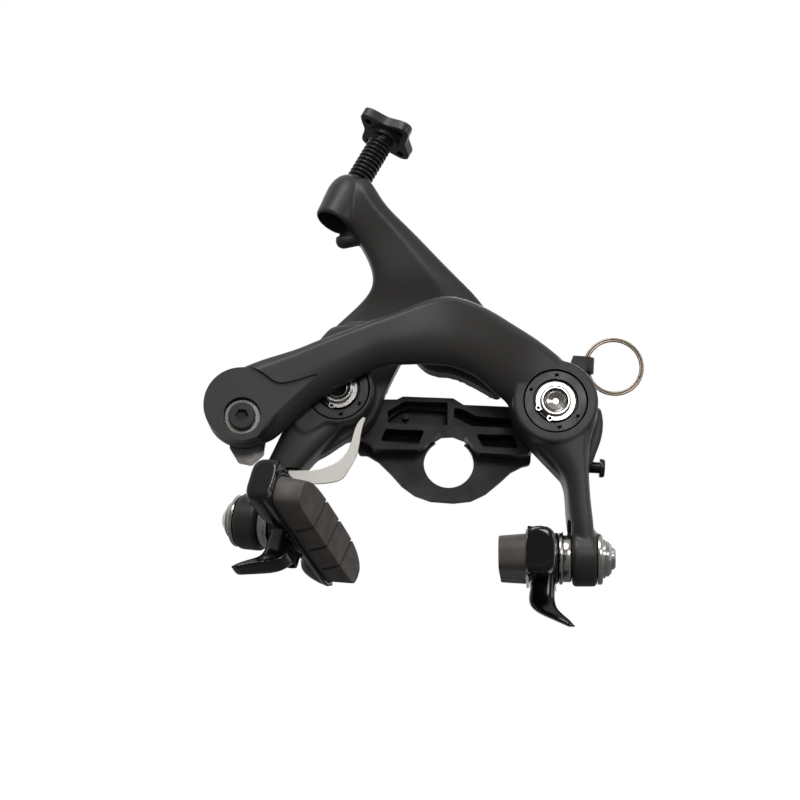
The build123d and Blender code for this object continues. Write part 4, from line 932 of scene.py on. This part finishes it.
class CALIPER_OT_holders(bpy.types.Operator):
    """Builds both pad holders: nose, tray, hub, fin and screw boss in one gloss skin"""

    bl_idname = "caliper.holders"
    bl_label = "Build the pad holders"

    def execute(self, context):
        for side in ("left", "right"):
            forms = [
                tray_net(NOSE_STATIONS, 0.4, 3.2),
                tray_net(TRAY_STATIONS, 0.3, 0.5),
                tray_net(SHOE_STATIONS, 0.2, 2.2),
                tray_net(SPINE_STATIONS, 0.0),
                turned(HUB_PROFILE, (0, 0, 0), (0, 0, 1), 96),
                fin_net(),
                wall(rounded(SCREW_BOSS, 2), SCREW_LEVEL, 0.0),
                pad_wall(HOLDER_MARGIN, 0.0, HOLDER_LIP),
            ]
            skins = [placed(side, form) for form in forms]
            piece = fused(f"{side}_holder_skin", skins, HOLDER_VOXEL, HOLDER_SMOOTHING)
            holes = [
                pad_wall(POCKET_GAP, 0.0, 4.0),
                bar(BOLT_HOLE, -2.45, -12.0, (0, 0, 0), (0, 0, 1), 48),
                wall(rounded(SCREW_RECESS, 2), SCREW_LEVEL + RECESS_DEPTH, SCREW_LEVEL - 3),
                bar(SCREW_HOLE, -12.0, -2.6, SCREW_CENTRE, around=32),
            ]
            cut(piece, [placed(side, hole) for hole in holes])
            dress(piece, "holder", f"{side}_pad", f"{side}_pad_holder")
        return {"FINISHED"}


# Knob, nuts and pull ring

KNOB_HEIGHT = 30.0
KNOB_TURN = 28.0
KNOB_HALF = 7.3
KNOB_HOLLOW = 0.15
KNOB_CORNER = 3.0
KNOB_HUB_DEPTH = 1.2
KNOB_HUB = 4.4
KNOB_LEVELS = [(0.96, 0.0), (1.0, 0.3), (1.0, 2.75), (0.96, 3.0)]
DIMPLE_CIRCLE = 6.6
DIMPLE_RADIUS = 1.05
KNOB_BORE = 3.05
NUT_START = 18.85
NUT_HEIGHT = 2.2
NUT_PROFILE = [(5.2, 0.0), (5.2, 0.6), (4.8, 0.75), (4.7, 1.5), (3.9, 2.2)]
NUT_BORE = 3.15
BOLT_RADIUS = 3.0
BOLT_END = 1.0
BOLT_BURY = 2.5
RING_CENTRE = (44.1, 22.0, 15.1)
RING_OUTER = 8.3
RING_SWAY = 0.22


class CALIPER_OT_small_parts(bpy.types.Operator):
    """Builds the four lobed knob, and the low nut and bolt end of each pad"""

    bl_idname = "caliper.small_parts"
    bl_label = "Build the knob and the pad nuts"

    def execute(self, context):
        self.knob()
        for side in ("left", "right"):
            origin, _, _, facing = seat_frame(side)
            away = -facing
            top = NUT_START + NUT_HEIGHT
            levels = [(radius, NUT_START + height) for radius, height in NUT_PROFILE]
            nut = shell_object(f"{side}_low_nut", [turned(levels, origin, away, 96)])
            cut(nut, [bar(NUT_BORE, NUT_START - 1, top + 1, origin, away, 48)])
            dress(nut, "bright", f"{side}_pad_slider", f"{side}_pad_nut")
            end = top + BOLT_END
            levels = [(BOLT_RADIUS, BOLT_BURY), (BOLT_RADIUS, end - 0.5), (BOLT_RADIUS - 0.5, end)]
            bolt = shell_object(f"{side}_bolt_bar", [turned(levels, origin, away, 48)])
            smoothed(bolt.data)
            dress(bolt, "bright", f"{side}_pad_slider", f"{side}_pad_bolt")
        return {"FINISHED"}

    def knob(self):
        """Square with round corners, whose sides are hollowed by a cosine of four times the angle,
        carried up the adjuster's axis from a round hub, with a dimple under each corner."""
        axis = adjuster_axis()
        side, other = square_to(axis)
        corners = np.array([(1, 1), (-1, 1), (-1, -1), (1, -1)]) * KNOB_HALF
        loop = soft_loop(corners, KNOB_CORNER, (16, 16, 16, 16), 9)
        angle = np.arctan2(loop[:, 1], loop[:, 0])
        loop = loop * (1 - KNOB_HOLLOW * (0.5 + 0.5 * np.cos(4 * angle)))[:, None]
        turn = np.radians(KNOB_TURN - 45)
        spin = np.array([[np.cos(turn), np.sin(turn)], [-np.sin(turn), np.cos(turn)]])
        hub = np.stack([np.cos(angle), np.sin(angle)], axis=1) * KNOB_HUB
        rows = [(hub, -KNOB_HUB_DEPTH), (hub, 0.0)]
        rows += [(loop * share, height) for share, height in KNOB_LEVELS]
        origin = np.add(ADJUSTER_MOUTH, axis * KNOB_HEIGHT)
        plane = spin @ np.stack([side, other])
        grid = np.array([origin + flat @ plane + axis * height for flat, height in rows])
        piece = shell_object("lobed_knob", [grid])
        turns = np.radians(KNOB_TURN + np.arange(4) * 90)
        places = [origin + DIMPLE_CIRCLE * (np.cos(a) * side + np.sin(a) * other) for a in turns]
        holes = [bar(DIMPLE_RADIUS, -1.0, 1.2, place, axis, 32) for place in places]
        holes.append(bar(KNOB_BORE, -3.0, 5.0, origin, axis, 48))
        cut(piece, holes)
        bevelled(piece)
        dress(piece, "knob", "adjuster", "adjuster_knob")


class CALIPER_OT_ring(bpy.types.Operator):
    """Builds the pull ring from two close turns of wire"""

    bl_idname = "caliper.ring"
    bl_label = "Build the pull ring"

    def execute(self, context):
        wire = context.scene.caliper_sizes.ring_wire * 1000
        piece = shell_object("pull_ring_wire", [self.spiral(wire)])
        dress(piece, "nickel", "ring", "pull_ring")
        return {"FINISHED"}

    def spiral(self, wire):
        """Tube round a flat spiral of two turns, which grows by one wire thickness a turn."""
        angle = np.linspace(0, 4 * np.pi, 241)[:, None, None] + np.pi
        around = np.linspace(0, 2 * np.pi, 16, endpoint=False)[None, :, None]
        radius = RING_OUTER - wire * (3 - angle / (2 * np.pi))
        out = np.concatenate([np.cos(angle), 0 * angle, np.sin(angle)], axis=2)
        back = np.array([0, 1, 0])
        centre = np.array(RING_CENTRE) + radius * out + back * wire * RING_SWAY * np.sin(angle / 2)
        return centre + wire / 2 * (np.cos(around) * out + np.sin(around) * back)


# Studio

PHOTO_TILT = 13.0
PHOTO_YAW = 1.42
PHOTO_ROLL = 3.7
PHOTO_DISTANCE = 566.6
PHOTO_LENS = 2213.0
PHOTO_WIDTH = 800
SENSOR_WIDTH = 36
AIM_PIXEL = (446.5, 393.8)
# Name, place in metres, width in metres, power in watts
LAMPS = [
    ("Key lamp", (-0.3, -0.75, 0.85), 0.6, 5.8),
    ("Front lamp", (0.15, -1.15, 0.32), 0.3, 2.2),
    ("Side lamp", (0.95, -0.45, 0.35), 0.4, 1.6),
    ("Back lamp", (0.25, 0.9, 0.7), 0.8, 5.0),
    ("Low lamp", (-0.95, -0.4, -0.2), 0.3, 0.6),
]
FLOOR_RADIUS = 1500
FLOOR_DROP = 8
FLOOR_BOUNCE = (0.16, 0.16, 0.16, 1)
SKY_COLOUR = (1.0, 0.985, 0.965, 1)
SKY_LEAST = 0.01
SKY_RISE = 0.34
SKY_BEHIND = 0.30


def studio_object(data, right, up, back, place):
    """Object at a place in metres, its own X, Y and Z pointing right, up and back."""
    matrix = np.eye(4)
    matrix[:3] = np.column_stack([right, up, back, place])
    piece = new_object(data.name, data)
    piece.matrix_world = Matrix(matrix.tolist())
    return piece


class CALIPER_OT_stage(bpy.types.Operator):
    """Sets up the camera, the lamps, the pale floor and the white world"""

    bl_idname = "caliper.stage"
    bl_label = "Set up the studio"

    def execute(self, context):
        self.camera(context)
        self.lamps(context)
        self.floor(context)
        self.world(context)
        context.scene.view_settings.view_transform = "Standard"
        return {"FINISHED"}

    def camera(self, context):
        """Camera below the object, looking up at it as in the photograph."""
        tilt, yaw, roll = np.radians([PHOTO_TILT, PHOTO_YAW, PHOTO_ROLL])
        forward = np.array([-np.sin(yaw) * np.cos(tilt), np.cos(yaw) * np.cos(tilt), np.sin(tilt)])
        level = np.array([np.cos(yaw), np.sin(yaw), 0])
        above = np.cross(level, forward)
        right = level * np.cos(roll) + above * np.sin(roll)
        up = above * np.cos(roll) - level * np.sin(roll)
        aside, below = (np.array(AIM_PIXEL) - PHOTO_WIDTH / 2) / PHOTO_LENS * PHOTO_DISTANCE
        place = -PHOTO_DISTANCE * forward - right * aside + up * below
        data = bpy.data.cameras.new("Photo camera")
        data.sensor_width = SENSOR_WIDTH
        data.lens = PHOTO_LENS / PHOTO_WIDTH * SENSOR_WIDTH
        data.clip_start = 0.01
        context.scene.camera = studio_object(data, right, up, -forward, place * 0.001)

    def lamps(self, context):
        """Soft lamps: a broad one above and in front, and weaker ones round the object."""
        for name, place, size, power in LAMPS:
            data = bpy.data.lights.new(name, "AREA")
            data.shape = "DISK"
            data.size = size
            data.energy = power
            backwards = unit(place)
            side = unit(np.cross([0, 0, 1], backwards))
            studio_object(data, side, np.cross(backwards, side), backwards, place)

    def floor(self, context):
        """Round pale floor just below the object, open to anything that looks up through it."""
        depth = CAD_BOX[0][2] * 1000 - FLOOR_DROP
        angle = np.linspace(0, 2 * np.pi, 96, endpoint=False)
        rim = np.stack([np.cos(angle), np.sin(angle), np.zeros(96)], axis=1) * FLOOR_RADIUS + [0, 0, depth]
        mesh = bpy.data.meshes.new("Floor")
        mesh.from_pydata((rim * 0.001).tolist(), [], [list(range(96))])
        floor = new_object("Floor", mesh)
        colour = tuple(context.scene.caliper_colours.floor)
        material, tree, surface = coated("Pale floor", colour, 1.0, patches=8.0, smooth=0.75, rough=0.85)
        seen = surface["Base Color"].links[0].from_socket
        camera_ray = put(tree, "LightPath").outputs["Is Camera Ray"]
        tree.links.new(mixed(tree, camera_ray, FLOOR_BOUNCE, seen), surface["Base Color"])
        back = put(tree, "NewGeometry").outputs["Backfacing"]
        clear = put(tree, "BsdfTransparent").outputs[0]
        mix = put(tree, "MixShader", {0: back, 1: tree.nodes["Principled BSDF"].outputs[0], 2: clear})
        tree.links.new(mix.outputs[0], tree.nodes["Material Output"].inputs["Surface"])
        mesh.materials.append(material)

    def world(self, context):
        """White world, as the camera and reflections meet it behind the object, and a softer grey
        sky for the light: brighter above and behind, darker in front and below."""
        world = bpy.data.worlds.new("Studio")
        context.scene.world = world
        world.use_nodes = True
        tree = world.node_tree
        tree.nodes.clear()
        place = put(tree, "TexCoord").outputs["Generated"]
        axes = put(tree, "SeparateXYZ", {"Vector": place}).outputs
        height = ramp(tree, axes["Z"], -0.7, 0.9)
        depth = ramp(tree, axes["Y"], -0.6, 0.8)
        shade = maths(tree, "MULTIPLY_ADD", height, SKY_RISE, SKY_LEAST)
        whole = maths(tree, "MULTIPLY_ADD", depth, SKY_BEHIND, shade)
        sky = put(tree, "Background", {"Color": SKY_COLOUR, "Strength": whole}).outputs[0]
        white = put(tree, "Background", {"Color": (1, 1, 1, 1), "Strength": 1.0}).outputs[0]
        path = put(tree, "LightPath").outputs
        behind = maths(tree, "MULTIPLY", path["Is Glossy Ray"], depth)
        seen = maths(tree, "MAXIMUM", path["Is Camera Ray"], behind)
        clear = maths(tree, "MAXIMUM", seen, path["Is Transmission Ray"])
        mix = put(tree, "MixShader", {0: clear, 1: sky, 2: white}).outputs[0]
        put(tree, "OutputWorld", {"Surface": mix}).is_active_output = True


class CALIPER_PT_panel(bpy.types.Panel):
    """Lists the caliper's operators, sizes and colours"""

    bl_idname = "CALIPER_PT_panel"
    bl_label = "Rim brake caliper"
    bl_space_type = "VIEW_3D"
    bl_region_type = "UI"
    bl_category = "Caliper"

    def draw(self, context):
        for operator in OPERATORS:
            self.layout.operator(operator.bl_idname)
        for settings in (context.scene.caliper_sizes, context.scene.caliper_colours):
            for key in settings.__annotations__:
                self.layout.prop(settings, key)


OPERATORS = [
    CALIPER_OT_stage, CALIPER_OT_finishes, CALIPER_OT_arms, CALIPER_OT_pads, CALIPER_OT_holders,
    CALIPER_OT_small_parts, CALIPER_OT_ring,
]
CLASSES = [CaliperSizes, CaliperColours, *OPERATORS, CALIPER_PT_panel]


def register():
    """Registers the classes and puts the settings on the scene."""
    for kind in CLASSES:
        bpy.utils.register_class(kind)
    bpy.types.Scene.caliper_sizes = PointerProperty(type=CaliperSizes)
    bpy.types.Scene.caliper_colours = PointerProperty(type=CaliperColours)


def unregister():
    """Takes the settings and the classes away again."""
    del bpy.types.Scene.caliper_colours
    del bpy.types.Scene.caliper_sizes
    for kind in reversed(CLASSES):
        bpy.utils.unregister_class(kind)


def main():
    """Builds the whole scene."""
    register()
    for operator in OPERATORS:
        group, name = operator.bl_idname.split(".")
        getattr(getattr(bpy.ops, group), name)()


if __name__ == "__main__":
    main()
